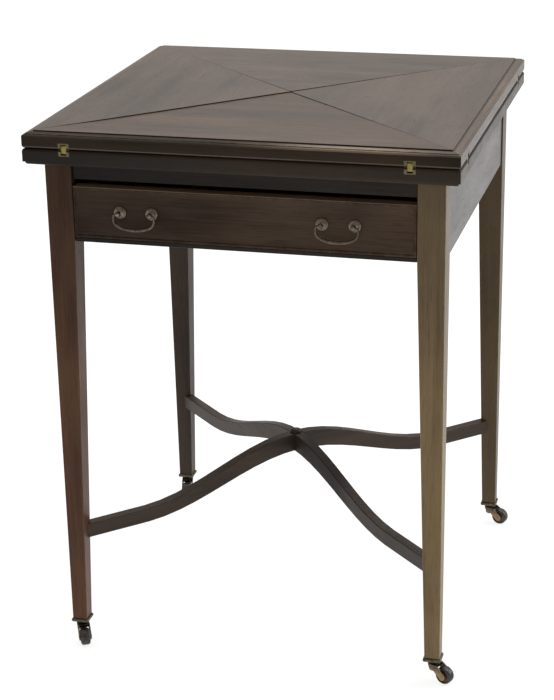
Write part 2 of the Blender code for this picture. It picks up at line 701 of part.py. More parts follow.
def wave(reach, low, rise):
    """Height of a bar's edge at a distance from the middle: half a cosine wave, then level."""
    share = min(reach / WAVE_REACH, 1.0)
    return low + rise * (1 + math.cos(math.pi * share)) / 2


def leg_inner_at(height):
    share = (height - CASTOR_HEIGHT) / (FRIEZE_UNDER - CASTOR_HEIGHT)
    return LEG_OUTER - (LEG_FOOT + (LEG_TOP - LEG_FOOT) * share)


def make_stretcher(legs):
    """Two waved bars halved into each other at the middle, their ends notched round the legs."""
    corner = leg_inner_at(BAR_UNDER_LOW) * math.sqrt(2)
    end = corner + BAR_END
    steps = [end * i / WAVE_POINTS for i in range(-WAVE_POINTS, WAVE_POINTS + 1)]
    under = [(x, wave(abs(x), BAR_UNDER_LOW, BAR_UNDER_RISE)) for x in steps]
    over = [(x, wave(abs(x), BAR_OVER_LOW, BAR_OVER_RISE)) for x in reversed(steps)]
    upright = Matrix(((1, 0, 0), (0, 0, -1), (0, 1, 0)))
    centre_low, centre_high = BAR_UNDER_LOW + BAR_UNDER_RISE, BAR_OVER_LOW + BAR_OVER_RISE
    halving = (centre_low + centre_high) / 2
    half = BAR_WIDTH / 2 + FIT
    peg = bore("peg_hole", PEG_RADIUS, (0, 0, centre_high - PEG_LENGTH - FIT), (0, 0, centre_high + OVERRUN))
    cuts = {"a": (halving - FIT / 2, centre_high + OVERRUN), "b": (centre_low - OVERRUN, halving + FIT / 2)}
    for tag, turn, ends in (("a", 45.0, ("front_left", "back_right")), ("b", -45.0, ("front_right", "back_left"))):
        bar = outline(f"stretcher_bar_{tag}", under + over, BAR_WIDTH, MAHOGANY, frame=upright)
        bar.rotation_euler.z = math.radians(turn)
        soften(bar, ARRIS)
        low, high = cuts[tag]
        lap = box(f"lap_{tag}", (-BAR_WIDTH, -half, low), (BAR_WIDTH, half, high), tool=True)
        lap.rotation_euler.z = math.radians(turn + 90)
        combine(bar, lap)
        combine(bar, peg)
        for leg in ends:
            notch = add(f"notch_{leg}", leg_mesh(f"notch_{leg}", *CORNERS[leg], spare=FIT), None, tool=True)
            combine(bar, notch)
        settle(bar)
    dome = [(CAP_RADIUS * math.cos(t), CAP_HEIGHT * math.sin(t)) for t in
            (math.pi / 2 * (1 - i / ARC_STEPS) for i in range(ARC_STEPS + 1))]
    seat = centre_high + FIT
    spots = [(radius, seat + CAP_HEIGHT * 0.35 + rise * 0.65) for radius, rise in dome]
    spots += [(CAP_RADIUS, seat), (PEG_RADIUS, seat), (PEG_RADIUS, centre_high - PEG_LENGTH),
              (0.0, centre_high - PEG_LENGTH)]
    spots[0] = (0.0, spots[0][1])
    turned("stretcher_cap", spots, MAHOGANY)


# Castors

def make_plates(legs, spots):
    """Square plates under the legs, with a stem up into the leg and a pintle down through the castor."""
    half = LEG_FOOT / 2 + PLATE_BORDER
    under = CASTOR_HEIGHT - FIT - PLATE_THICK
    head = under - FIT - NECK_HEIGHT - FIT
    for corner, (x, y) in spots.items():
        plate = box(f"castor_plate_{corner}", (x - half, y - half, under), (x + half, y + half, CASTOR_HEIGHT - FIT),
                    DARK_BRASS, arris=2 * ARRIS)
        pin = turned(f"pintle_{corner}", [(0, CASTOR_HEIGHT + STEM_LENGTH), (STEM_RADIUS, CASTOR_HEIGHT + STEM_LENGTH),
                                          (STEM_RADIUS, under + PLATE_THICK / 2), (PINTLE_RADIUS, under + PLATE_THICK / 2),
                                          (PINTLE_RADIUS, head), (PINTLE_HEAD_RADIUS, head),
                                          (PINTLE_HEAD_RADIUS, head - PINTLE_HEAD_THICK), (0, head - PINTLE_HEAD_THICK)],
                     tool=True, steps=BORE_SIDES)
        pin.location = (x, y, 0)
        settle(combine(plate, pin, "UNION"))
        hole = bore(f"stem_hole_{corner}", STEM_RADIUS, (x, y, CASTOR_HEIGHT - OVERRUN),
                    (x, y, CASTOR_HEIGHT + STEM_LENGTH + FIT))
        combine(legs[corner], hole)


def horn_mesh(axle_height):
    """A castor's neck, crown and two cheeks with the axle between them; the wheel trails along +X."""
    top = CASTOR_HEIGHT - PLATE_THICK - 2 * FIT
    base = top - NECK_HEIGHT
    crown_under = top - CROWN_DROP
    crown_top = crown_under + CROWN_THICK
    ring = NECK_RADIUS + NECK_RING
    neck = turned("horn", [(0, top), (NECK_RADIUS, top), (NECK_RADIUS, crown_top), (ring, crown_top - NECK_RING),
                           (ring, crown_under), (NECK_BASE, crown_under), (NECK_BASE, base), (0, base)],
                  DARK_BRASS)
    inner = WHEEL_WIDTH / 2 + WHEEL_GAP
    outer = inner + HORN_THICK
    crown_end = CASTOR_TRAIL / 2
    crown = box("crown", (0, -outer, crown_under), (crown_end, outer, crown_top), tool=True)
    combine(neck, crown, "UNION")
    round_end = arc((CASTOR_TRAIL, axle_height), HORN_END, 45, -150, 8)
    cheek = [(0.0, crown_under), (0.0, crown_top), (crown_end, crown_top)] + round_end + [(HORN_END / 2, crown_under)]
    upright = Matrix(((1, 0, 0), (0, 0, -1), (0, 1, 0)))
    for sign in (-1, 1):
        plate = outline(f"cheek_{sign}", cheek, HORN_THICK, tool=True, frame=upright)
        plate.location.y = sign * (inner + HORN_THICK / 2)
        combine(neck, plate, "UNION")
    axle = cylinder("axle", AXLE_RADIUS, (CASTOR_TRAIL, -outer, axle_height), (CASTOR_TRAIL, outer, axle_height),
                    tool=True, sides=BORE_SIDES)
    combine(neck, axle, "UNION")
    combine(neck, bore("pintle_bore", PINTLE_RADIUS, (0, 0, base - OVERRUN), (0, 0, top + OVERRUN)))
    settle(neck)
    smooth(neck)
    mesh = neck.data
    bpy.data.objects.remove(neck)
    return mesh


def wheel_mesh():
    """A castor wheel on the X axis, with one facet of its tread level at the bottom."""
    half = WHEEL_WIDTH / 2
    rim = WHEEL_RADIUS
    dished = half - HUB_DISH
    spots = [(0, half), (HUB_RADIUS, half), (HUB_RADIUS + HUB_DISH, dished), (rim - 2 * TREAD_ROUND, dished),
             (rim - TREAD_ROUND, half), (rim, half - TREAD_ROUND)]
    mirror = [(radius, -rise) for radius, rise in reversed(spots)]
    wheel = turned("wheel", spots + mirror, ROLLER, steps=WHEEL_FACETS, axis="X")
    wheel.data.transform(Matrix.Rotation(math.pi / WHEEL_FACETS, 4, "X"))
    long = half + OVERRUN
    settle(combine(wheel, bore("wheel_bore", AXLE_RADIUS, (-long, 0, 0), (long, 0, 0))))
    mesh = wheel.data
    bpy.data.objects.remove(wheel)
    return mesh


def make_castors(legs):
    middle = LEG_OUTER - LEG_FOOT / 2
    spots = {corner: (sx * middle, sy * middle) for corner, (sx, sy) in CORNERS.items()}
    make_plates(legs, spots)
    axle_height = WHEEL_RADIUS * math.cos(math.pi / WHEEL_FACETS)
    horn, wheel = horn_mesh(axle_height), wheel_mesh()
    for corner, (x, y) in spots.items():
        turn = CASTOR_TURNS[corner]
        add(f"castor_horn_{corner}", horn, DARK_BRASS, (x, y, 0), turn)
        trail = Matrix.Rotation(math.radians(turn), 3, "Z") @ Vector((CASTOR_TRAIL, 0, axle_height))
        add(f"castor_wheel_{corner}", wheel, ROLLER, Vector((x, y, 0)) + trail, turn + 90)


def main():
    make_bed()
    make_flaps()
    make_links()
    make_pivot()
    legs = make_frame()
    make_drawer()
    make_stretcher(legs)
    make_castors(legs)
    for leg in legs.values():
        settle(leg)


main()
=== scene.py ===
"""Looks of the envelope card table: refined wood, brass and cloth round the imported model, and the photograph's view."""

import math

import bmesh
import bpy
from mathutils import Matrix, Vector


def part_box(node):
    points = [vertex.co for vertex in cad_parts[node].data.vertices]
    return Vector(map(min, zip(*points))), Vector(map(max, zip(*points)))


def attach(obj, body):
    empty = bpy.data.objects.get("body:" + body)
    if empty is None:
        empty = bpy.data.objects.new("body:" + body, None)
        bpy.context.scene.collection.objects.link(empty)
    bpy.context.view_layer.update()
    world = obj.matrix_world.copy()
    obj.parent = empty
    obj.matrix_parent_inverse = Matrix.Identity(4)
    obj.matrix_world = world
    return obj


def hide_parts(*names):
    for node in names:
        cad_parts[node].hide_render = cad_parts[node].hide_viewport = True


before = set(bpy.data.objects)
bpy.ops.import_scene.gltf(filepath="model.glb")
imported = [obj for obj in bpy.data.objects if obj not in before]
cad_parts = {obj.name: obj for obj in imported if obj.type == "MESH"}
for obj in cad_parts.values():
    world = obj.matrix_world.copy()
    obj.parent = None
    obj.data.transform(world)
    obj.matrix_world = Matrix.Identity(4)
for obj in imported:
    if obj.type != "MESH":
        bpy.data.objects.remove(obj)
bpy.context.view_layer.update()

# Sizes of the solids that the finer pieces follow
HALF = 0.280
TOP = 0.735
FLAP_THICK = 0.0214
FIT = 0.0003
BED_THICK = 0.0213
FLAP_UNDER = TOP - FLAP_THICK
BED_TOP = FLAP_UNDER - FIT
BED_UNDER = BED_TOP - BED_THICK
SEAM = 0.0038
STEP_DROP = 0.0015
FLAT_INSET = 0.0120
LEDGE_FALL = 0.0014
LEDGE_OUT = 0.0034
QUIRK_DEPTH = 0.0008
NOSE_DROP = 0.0028
CLEAN_LEDGE = 0.0090
UNDER_LEDGE = 0.0028
UNDER_ROUND = 0.0031
UNDER_FILLET = 0.0010
BED_BORDER = 0.0150
FLAP_BORDER = 0.0240
RECESS = 0.0014
CLOTH = 0.0006
CLOTH_MIDDLE = 0.0007
CUT_PAST = 0.002
HINGE_PLACE = 0.2210
HINGE_SHIFT = -0.0029
SLOT_HALF = 0.0036
SLOT_REACH = 0.0030
LINK_HALF = 0.0034
LINK_ROUND = 0.0027
LEAF_HALF = 0.00725
LEAF_REACH = 0.0082
LEAF_START = 0.0023
LEAF_THICK = 0.0010
LEAF_INNER = 0.0130
SCREW = 0.0014
PIN_LOW = BED_TOP - SEAM
PIN_HIGH = FLAP_UNDER + SEAM
PIN_OUT = HALF - SEAM
PANEL_FACE = -0.2569
BEAD_WIDE = 0.0032
BEAD_DEEP = 0.0060
HANDLE_Z = 0.6295
HANDLE_X = 0.1320
HANDLE_SHIFT = -0.0075
POST_SPACING = 0.0420
POST_REACH = 0.0105
WHEEL = 0.0120
WHEEL_FACETS = 20
WHEEL_HALF = 0.00625
TREAD_INNER = 0.0090
TRAIL = 0.0190
CASTOR_TOP = 0.0350
PLATE_DEEP = 0.0056
CROWN_DROP = 0.0085
NECK_HEIGHT = 0.0150
NECK_BASE = 0.0054
NECK_BORE = 0.0026
HORN_FRONT = -0.0015
CROWN_THICK = 0.0046
CHEEK_GAP = 0.0005
CHEEK_THICK = 0.0018
CHEEK_END = 0.0052
LEG_AXIS = 0.2487
CASTOR_TURNS = {"front_left": -62.0, "front_right": -24.0, "back_right": -18.0, "back_left": -77.0}
CORNERS = {"front_left": (-1, -1), "front_right": (1, -1), "back_right": (1, 1), "back_left": (-1, 1)}
SIDES = {"front": 0, "right": 90, "back": 180, "left": 270}

# The camera: focal length in pixels of a picture this high, yaw, pitch and roll in degrees, and place
FOCAL = 1881.17
PICTURE_HIGH = 700
SENSOR_HIGH = 24.0
CAMERA_TURN = (15.0547, -20.6507, -1.0849)
CAMERA_PLACE = (0.6281, -2.4328, 1.3071)


# Materials

class Nodes:
    """A short way to wire a material."""

    def __init__(self, name):
        self.material = bpy.data.materials.new(name)
        self.material.use_nodes = True
        self.tree = self.material.node_tree
        self.shader = self.tree.nodes["Principled BSDF"]
        self.where = self.tree.nodes.new("ShaderNodeTexCoord").outputs["Object"]

    def add(self, kind, values=(), **settings):
        node = self.tree.nodes.new(kind)
        for key, value in settings.items():
            setattr(node, key, value)
        for key, value in dict(values).items():
            socket = node.inputs[key]
            if isinstance(value, bpy.types.NodeSocket):
                self.tree.links.new(value, socket)
            else:
                socket.default_value = value
        return node

    def turned(self, turn):
        spin = tuple(math.radians(angle) for angle in turn)
        return self.add("ShaderNodeMapping", {"Vector": self.where, "Rotation": spin}, vector_type="POINT").outputs[0]

    def noise(self, place, stretch, detail=4.0, rough=0.55, distortion=0.0, shift=(0, 0, 0)):
        mapped = self.add("ShaderNodeMapping", {"Vector": place, "Scale": stretch, "Location": shift}).outputs[0]
        made = self.add("ShaderNodeTexNoise", {"Vector": mapped, "Scale": 1.0, "Detail": detail, "Roughness": rough,
                                               "Distortion": distortion})
        return made.outputs["Fac"]

    def ramp(self, value, *stops):
        node = self.add("ShaderNodeValToRGB", {"Fac": value})
        marks = node.color_ramp.elements
        while len(marks) < len(stops):
            marks.new(0.5)
        for mark, (spot, colour) in zip(marks, stops):
            mark.position = spot
            mark.color = (*colour, 1.0) if hasattr(colour, "__len__") else (colour, colour, colour, 1.0)
        return node.outputs["Color"]

    def mix(self, share, first, second, blend="MIX"):
        node = self.add("ShaderNodeMix", data_type="RGBA", blend_type=blend)
        for socket, value in ((node.inputs[0], share), (node.inputs[6], first), (node.inputs[7], second)):
            if isinstance(value, bpy.types.NodeSocket):
                self.tree.links.new(value, socket)
            else:
                socket.default_value = (*value, 1.0) if hasattr(value, "__len__") else value
        return node.outputs[2]

    def maths(self, how, first, second=0.0, third=0.0, clamp=False):
        node = self.add("ShaderNodeMath", operation=how, use_clamp=clamp)
        for socket, value in zip(node.inputs, (first, second, third)):
            if isinstance(value, bpy.types.NodeSocket):
                self.tree.links.new(value, socket)
            else:
                socket.default_value = value
        return node.outputs[0]

    def edges(self, radius, start=0.90, end=0.995):
        """1 along worn arrises, 0 on flat ground."""
        worn = self.add("ShaderNodeBevel", {"Radius": radius}, samples=4).outputs[0]
        plain = self.add("ShaderNodeNewGeometry").outputs["Normal"]
        dot = self.add("ShaderNodeVectorMath", {0: worn, 1: plain}, operation="DOT_PRODUCT").outputs["Value"]
        return self.ramp(dot, (start, 1.0), (end, 0.0))

    def bump(self, *layers):
        """Layers of (height, strength, distance)."""
        normal = None
        for height, strength, distance in layers:
            values = {"Height": height, "Strength": strength, "Distance": distance}
            if normal is not None:
                values["Normal"] = normal
            normal = self.add("ShaderNodeBump", values).outputs[0]
        self.tree.links.new(normal, self.shader.inputs["Normal"])

    def feed(self, **values):
        for key, value in values.items():
            socket = self.shader.inputs[key.replace("_", " ")]
            if isinstance(value, bpy.types.NodeSocket):
                self.tree.links.new(value, socket)
            else:
                socket.default_value = value


GRAIN = {"X": (0, 0, 0), "Y": (0, 0, -90), "Z": (0, 90, 0), "diagonal": (0, 0, -45), "cross": (0, 0, 45)}


def wood(name, deep, mid, pale, along="X", rough=0.36, wear=0.5, figure=1.0, gloss=0.5, shift=0.0, grime_and_shade=()):
    """Polished mahogany with figure, straight fibre, open pores, handling marks and rubbed arrises.
    Each layer of grime_and_shade is (axis, start, end, share kept, roughness gained): colour scaled darker or lighter
    along an axis, mostly painted shade and painted light, in places also dull, dirty polish."""
    n = Nodes(name)
    grain = n.turned(GRAIN[along])
    bands = n.noise(grain, (1.6, 26, 26), 5, 0.55, 0.9, (shift, shift, 0))
    clouds = n.noise(grain, (5, 11, 11), 3, 0.5, 0.3, (shift, 1.7, shift))
    fibre = n.noise(grain, (9, 420, 420), 5, 0.6)
    pores = n.noise(grain, (42, 1500, 1500), 2, 0.5)
    ground = n.mix(n.ramp(bands, (0.32, 0.0), (0.66, 1.0)), deep, mid)
    ground = n.mix(n.maths("MULTIPLY", n.ramp(clouds, (0.40, 0.0), (0.72, 1.0)), 0.55 * figure), ground, pale)
    ground = n.mix(n.ramp(fibre, (0.35, 0.0), (0.70, 0.32 * figure)), ground, pale)
    open_pores = n.ramp(pores, (0.58, 0.0), (0.70, 1.0))
    ground = n.mix(n.maths("MULTIPLY", open_pores, 0.45), ground, tuple(c * 0.35 for c in deep))
    marks = n.noise(n.where, (60, 60, 60), 6, 0.7, 0.6, (3.1, shift, 0.4))
    rubbed = n.maths("MULTIPLY", n.edges(0.0016), n.ramp(marks, (0.42, 0.0), (0.62, wear)))
    ground = n.mix(rubbed, ground, tuple(min(1.0, c * 1.9 + 0.015) for c in pale))
    dirt = n.noise(grain, (7, 30, 30), 5, 0.6, 0.3, (0.0, 5.2, shift))
    haze = n.maths("MULTIPLY_ADD", dirt, 0.20, rough - 0.10)
    haze = n.maths("ADD", haze, n.maths("MULTIPLY", open_pores, 0.18))
    # Each ramp darkens or lightens the colour along an axis as painted shade and painted light, and can dull the polish
    for axis, clean, ramp_end, kept, dulled in grime_and_shade:
        place = n.add("ShaderNodeSeparateXYZ", {0: n.where}).outputs[axis]
        place = n.maths("MULTIPLY_ADD", dirt, 0.4 * (ramp_end - clean), n.maths("SUBTRACT", place, 0.2 * (ramp_end - clean)))
        layer = n.add("ShaderNodeMapRange", {"Value": place, "From Min": clean, "From Max": ramp_end}).outputs[0]
        share = n.maths("MULTIPLY_ADD", layer, kept - 1, 1.0)
        ground = n.mix(1.0, ground, n.add("ShaderNodeCombineColor", {0: share, 1: share, 2: share}).outputs[0],
                       "MULTIPLY")
        haze = n.maths("MULTIPLY_ADD", layer, dulled, haze)
    n.feed(Base_Color=ground, Roughness=haze, Specular_IOR_Level=gloss)
    n.bump((n.maths("SUBTRACT", 1.0, open_pores), 0.25, 0.00008), (marks, 0.10, 0.0003), (bands, 0.10, 0.0012))
    return n.material


def pine(name):
    """Bare, dusty drawer lining."""
    n = Nodes(name)
    grain = n.turned(GRAIN["Y"])
    rings = n.noise(grain, (1.1, 46, 30), 4, 0.5, 1.2)
    fibre = n.noise(grain, (14, 700, 700), 4, 0.6)
    stains = n.noise(n.where, (14, 14, 14), 5, 0.6, 0.5)
    ground = n.mix(n.ramp(rings, (0.35, 0.0), (0.62, 1.0)), (0.43, 0.29, 0.15), (0.30, 0.17, 0.075))
    ground = n.mix(n.ramp(fibre, (0.3, 0.0), (0.75, 0.4)), ground, (0.52, 0.38, 0.22))
    ground = n.mix(n.ramp(stains, (0.52, 0.0), (0.75, 0.55)), ground, (0.16, 0.10, 0.06))
    n.feed(Base_Color=ground, Roughness=n.maths("MULTIPLY_ADD", stains, 0.15, 0.55), Specular_IOR_Level=0.3)
    n.bump((fibre, 0.3, 0.0002), (rings, 0.2, 0.0006))
    return n.material


TARNISH = (0.02, 0.016, 0.012)
LOW_FROM, LOW_TO = 0.022, 0.014


def brass(name, bright, dull, rough, age, low=None):
    """Brass rubbed bright on its edges, with dull patches and tarnish specks; low is a castor horn's tone near the
    floor.
    """
    n = Nodes(name)
    patches = n.noise(n.where, (240, 240, 240), 6, 0.65, 0.8)
    specks = n.noise(n.where, (1100, 1100, 1100), 3, 0.6)
    tone = n.mix(n.ramp(patches, (0.5 - 0.28 * (1 - age), 0.0), (0.72, 1.0)), bright, dull)
    # low: a lighter tone near the floor, painted light on the right-hand castor horns
    if low:
        height = n.add("ShaderNodeSeparateXYZ", {0: n.where}).outputs["Z"]
        near = n.add("ShaderNodeMapRange", {"Value": height, "From Min": LOW_FROM, "From Max": LOW_TO}).outputs[0]
        tone = n.mix(near, tone, low)
    tone = n.mix(n.ramp(specks, (0.55, 0.0), (0.72, age)), tone, TARNISH)
    tone = n.mix(n.maths("MULTIPLY", n.edges(0.0008, 0.8, 0.99), 0.7), tone, tuple(min(1.0, c * 1.35) for c in bright))
    n.feed(Base_Color=tone, Metallic=1.0, Roughness=n.maths("MULTIPLY_ADD", patches, 0.30, rough - 0.12))
    n.bump((patches, 0.12, 0.0002), (specks, 0.20, 0.00006))
    return n.material


def baize(name):
    """Green wool cloth: felted nap, faint twill, rubbed and faded patches."""
    n = Nodes(name)
    nap = n.noise(n.where, (1700, 1700, 900), 4, 0.7, 0.4)
    worn = n.noise(n.where, (9, 9, 9), 5, 0.6, 0.4)
    diagonal = n.turned(GRAIN["cross"])
    twill = n.add("ShaderNodeTexWave", {"Vector": diagonal, "Scale": 170.0, "Distortion": 1.6, "Detail": 2.0,
                                        "Detail Scale": 4.0}, wave_type="BANDS", bands_direction="X").outputs["Fac"]
    tone = n.mix(n.ramp(nap, (0.3, 0.0), (0.7, 1.0)), (0.018, 0.090, 0.040), (0.045, 0.175, 0.085))
    tone = n.mix(n.ramp(worn, (0.50, 0.0), (0.78, 0.6)), tone, (0.085, 0.200, 0.105))
    tone = n.mix(n.maths("MULTIPLY", twill, 0.18), tone, (0.010, 0.060, 0.028))
    n.feed(Base_Color=tone, Roughness=0.96, Specular_IOR_Level=0.15)
    n.shader.inputs["Sheen Weight"].default_value = 0.45
    n.shader.inputs["Sheen Roughness"].default_value = 0.5
    n.shader.inputs["Sheen Tint"].default_value = (0.45, 0.75, 0.50, 1.0)
    n.bump((nap, 0.5, 0.0003), (twill, 0.35, 0.0002))
    return n.material


def plain_floor(name):
    n = Nodes(name)
    n.feed(Base_Color=(0.22, 0.22, 0.22, 1.0), Roughness=0.9, Specular_IOR_Level=0.1)
    n.shader.inputs["Emission Color"].default_value = (1.0, 1.0, 1.0, 1.0)
    n.shader.inputs["Emission Strength"].default_value = 0.85
    return n.material


def shades(deep, mid, pale, factor=1.0):
    return [tuple(c * factor for c in tone) for tone in (deep, mid, pale)]


RED = shades((0.036, 0.013, 0.007), (0.088, 0.039, 0.019), (0.145, 0.076, 0.038))
# EDGE: the same mahogany on the moulded edges and the bed, painted darker than the top's field as painted shade on
# faces that stand upright
EDGE = shades((0.012, 0.007, 0.004), (0.026, 0.015, 0.008), (0.048, 0.030, 0.016))
# RAIL: very dark, painted shade for the front rails under the top's overhang
RAIL = shades((0.010, 0.007, 0.005), (0.021, 0.015, 0.011), (0.036, 0.026, 0.019))
BROWN = shades((0.011, 0.007, 0.005), (0.024, 0.015, 0.010), (0.048, 0.032, 0.022))
OLIVE = shades((0.072, 0.044, 0.017), (0.130, 0.086, 0.037), (0.195, 0.135, 0.062))
DRAWER = shades((0.030, 0.014, 0.009), (0.064, 0.040, 0.024), (0.114, 0.080, 0.053))
TOPS = shades((0.013, 0.007, 0.004), (0.052, 0.030, 0.018), (0.112, 0.074, 0.048))
WARM = shades((0.016, 0.008, 0.005), (0.061, 0.033, 0.019), (0.122, 0.079, 0.049))
# NOSE: the flap's nose and ledge, lighter than the edge: a painted highlight along the moulding, with some real wear
NOSE = shades((0.056, 0.035, 0.019), (0.128, 0.086, 0.048), (0.230, 0.168, 0.100))

LOOKS = {
    "top_back": wood("top_wood_back", *TOPS, "X", 0.30, 0.5, 0.8, 0.5, 0.0),
    "top_front": wood("top_wood_front", *WARM, "X", 0.32, 0.5, 1.0, 0.35, 1.3),
    "top_left": wood("top_wood_left", *TOPS, "Y", 0.30, 0.5, 0.8, 0.5, 2.6),
    "top_right": wood("top_wood_right", *shades(*TOPS, 1.03), "Y", 0.30, 0.5, 0.8, 0.5, 4.1),
    # Flap edge looks: edge_x and edge_y are painted shade on the upright faces, and edge_x is darker and duller near
    # the right end; nose_x is a painted highlight, darker and duller towards the left and near the right end; nose_y is
    # a lighter copy of the top as painted sheen; seam_x is lighter as a painted highlight on the lower arris; seam_y is
    # darker as painted shade; hollow gives the bed's upper arris its own dull tone, painted for the shaded seam groove
    "edge_x": wood("edge_wood_x", *EDGE, "X", 0.34, 0.5, 0.8, 0.12, 0.4, (("X", 0.20, 0.27, 0.6, 0.1),)),
    "edge_y": wood("edge_wood_y", *EDGE, "Y", 0.34, 0.5, 0.8, 0.40, 1.4),
    "nose_x": wood("nose_wood_x", *NOSE, "X", 0.30, 0.5, 0.9, 0.25, 0.4,
                   (("X", 0.11, -0.01, 0.24, 0.45), ("X", 0.18, 0.262, 0.45, 0.2))),
    "nose_y": wood("nose_wood_y", *shades(*TOPS, 1.3), "Y", 0.30, 0.5, 0.9, 0.6, 1.4),
    "seam_x": wood("seam_wood_x", *shades(*EDGE, 1.3), "X", 0.22, 0.5, 0.8, 0.5, 0.4),
    "seam_y": wood("seam_wood_y", *shades(*EDGE, 0.8), "Y", 0.50, 0.5, 0.8, 0.1, 1.4),
    "hollow": wood("hollow_wood", *shades(*EDGE, 1.2), "X", 0.50, 0.4, 0.8, 0.10, 0.4),
    # The bed: painted shade, darker towards the left and towards its top under the flaps' overhang
    "bed": wood("bed_wood", *EDGE, "X", 0.36, 0.5, 0.8, 0.20, 0.7,
                (("X", 0.02, -0.20, 0.35, 0.0), ("Z", BED_UNDER + 0.004, BED_TOP, 0.7, 0.0))),
    # Legs: each is darker towards its top as painted shade under the top; their tones differ partly in colour and
    # partly as painted light: the front right leg is a lit copy of the back right leg's olive, and the back legs are
    # darker
    "leg_front_left": wood("leg_wood_red", *RED, "Z", 0.40, 0.6, 0.9, 0.14, 0.2, (("Z", 0.42, 0.62, 0.55, 0.12),)),
    "leg_front_right": wood("leg_wood_olive", *shades(*OLIVE, 1.34), "Z", 0.40, 0.6, 0.9, 0.26, 1.1,
                            (("Z", 0.42, 0.66, 0.56, 0.0),)),
    "leg_back_right": wood("leg_wood_amber", *shades(*OLIVE, 0.60), "Z", 0.40, 0.6, 0.9, 0.20, 2.1,
                           (("Z", 0.25, 0.6, 0.68, 0.0),)),
    "leg_back_left": wood("leg_wood_brown", *shades(*BROWN, 1.35), "Z", 0.48, 0.6, 0.9, 0.19, 2.1),
    # rail_x: the RAIL palette's painted shade, darker still towards the left as painted light falling off from the
    # right
    "rail_x": wood("rail_wood_x", *RAIL, "X", 0.40, 0.4, 0.7, 0.15, 0.9, (("X", 0.05, -0.22, 0.42, 0.0),)),
    "rail_y": wood("rail_wood_y", *BROWN, "Y", 0.34, 0.4, 0.8, 0.40, 1.9),
    # Drawer front: darker towards the left, painted light falling off from the right; drawer_top is a much lighter
    # copy, a painted highlight on the front's top edge; bead is a slightly darker copy with the same painted gradient
    "drawer": wood("drawer_wood", *DRAWER, "X", 0.40, 0.5, 1.0, 0.09, 0.3, (("X", 0.24, -0.24, 0.55, 0.0),)),
    "drawer_top": wood("drawer_top_wood", *shades(*DRAWER, 3.2), "X", 0.45, 0.5, 1.0, 0.3, 0.3),
    "bead": wood("bead_wood", *shades(*DRAWER, 0.95), "X", 0.38, 0.8, 0.5, 0.08, 0.3, (("X", 0.24, -0.24, 0.55, 0.0),)),
    # Stretcher bars: bar_a is lighter towards the back right, painted sheen; bar_b is darker just right of the middle
    # as painted shade and lighter again further right as painted light
    "bar_a": wood("bar_wood_a", *shades(*BROWN, 1.5), "diagonal", 0.44, 0.7, 0.8, 0.22, 0.5,
                  (("X", 0.0, 0.08, 1.3, -0.08),)),
    "bar_b": wood("bar_wood_b", *shades(*BROWN, 1.5), "cross", 0.42, 0.7, 0.8, 0.28, 1.5,
                  (("X", -0.01, 0.02, 0.40, 0.20), ("X", 0.08, 0.11, 2.6, -0.20))),
    "pine": pine("lining_wood"),
    "leaf": brass("leaf_metal", (0.17, 0.145, 0.075), (0.09, 0.076, 0.040), 0.40, 0.40),
    "link": brass("link_metal", (0.30, 0.25, 0.08), (0.17, 0.14, 0.045), 0.36, 0.30),
    "rosette": brass("rosette_metal", (0.29, 0.245, 0.190), (0.046, 0.037, 0.030), 0.36, 0.6),
    "bail": brass("bail_metal", (0.15, 0.120, 0.090), (0.040, 0.032, 0.026), 0.26, 0.6),
    "plate": brass("castor_plate_metal", (0.15, 0.130, 0.085), (0.045, 0.039, 0.029), 0.42, 0.7),
    "wheel": brass("wheel_metal", (0.085, 0.080, 0.078), (0.030, 0.026, 0.025), 0.42, 0.6),
    "iron": brass("iron_metal", (0.13, 0.12, 0.115), (0.055, 0.045, 0.040), 0.50, 0.7),
    "baize": baize("baize_cloth"),
}

# Castor brass by corner: the left castors take a darker copy as painted shade, the right ones lighter tones as painted
# light, with a lighter gold near the floor painted on their horns
SHADED_HORN = ((0.110, 0.088, 0.064), (0.030, 0.022, 0.020)), ((0.080, 0.066, 0.058), (0.026, 0.020, 0.018)), None
for corner, horn_tones, hub_tones, low in (
        ("front_left", *SHADED_HORN),
        ("front_right", ((0.15, 0.115, 0.085), (0.045, 0.034, 0.028)), ((0.13, 0.060, 0.055), (0.050, 0.024, 0.026)),
         (0.27, 0.200, 0.095)),
        ("back_right", ((0.13, 0.100, 0.080), (0.045, 0.034, 0.030)), ((0.14, 0.085, 0.060), (0.060, 0.036, 0.030)),
         (0.26, 0.175, 0.105)),
        ("back_left", *SHADED_HORN)):
    LOOKS[f"horn_{corner}"] = brass(f"horn_metal_{corner}", *horn_tones, 0.40, 0.6, low=low)
    LOOKS[f"hub_{corner}"] = brass(f"hub_metal_{corner}", *hub_tones, 0.42, 0.5)


# Mesh helpers

def to_object(name, shape, look):
    bmesh.ops.recalc_face_normals(shape, faces=shape.faces)
    mesh = bpy.data.meshes.new(name)
    shape.to_mesh(mesh)
    shape.free()
    made = bpy.data.objects.new(name, mesh)
    bpy.context.scene.collection.objects.link(made)
    mesh.materials.append(look)
    return made


def apply(made):
    """Leaves an object with the mesh that its modifiers give."""
    bpy.context.view_layer.update()
    mesh = bpy.data.meshes.new_from_object(made.evaluated_get(bpy.context.evaluated_depsgraph_get()))
    made.modifiers.clear()
    made.data = mesh
    return made


def soften(made, width, segments=2, angle=30.0):
    bevel = made.modifiers.new("arris", "BEVEL")
    bevel.width = width
    bevel.segments = segments
    bevel.limit_method = "ANGLE"
    bevel.angle_limit = math.radians(angle)
    bevel.harden_normals = True
    return made


def smooth(made, angle=40.0):
    made.data.shade_smooth()
    made.data.set_sharp_from_angle(angle=math.radians(angle))
    return made


def settle(made, body, slot, *nodes):
    """The piece rides on its body and stands for its CAD nodes; slot is not used."""
    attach(made, body)
    if nodes:
        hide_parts(*nodes)
    return made


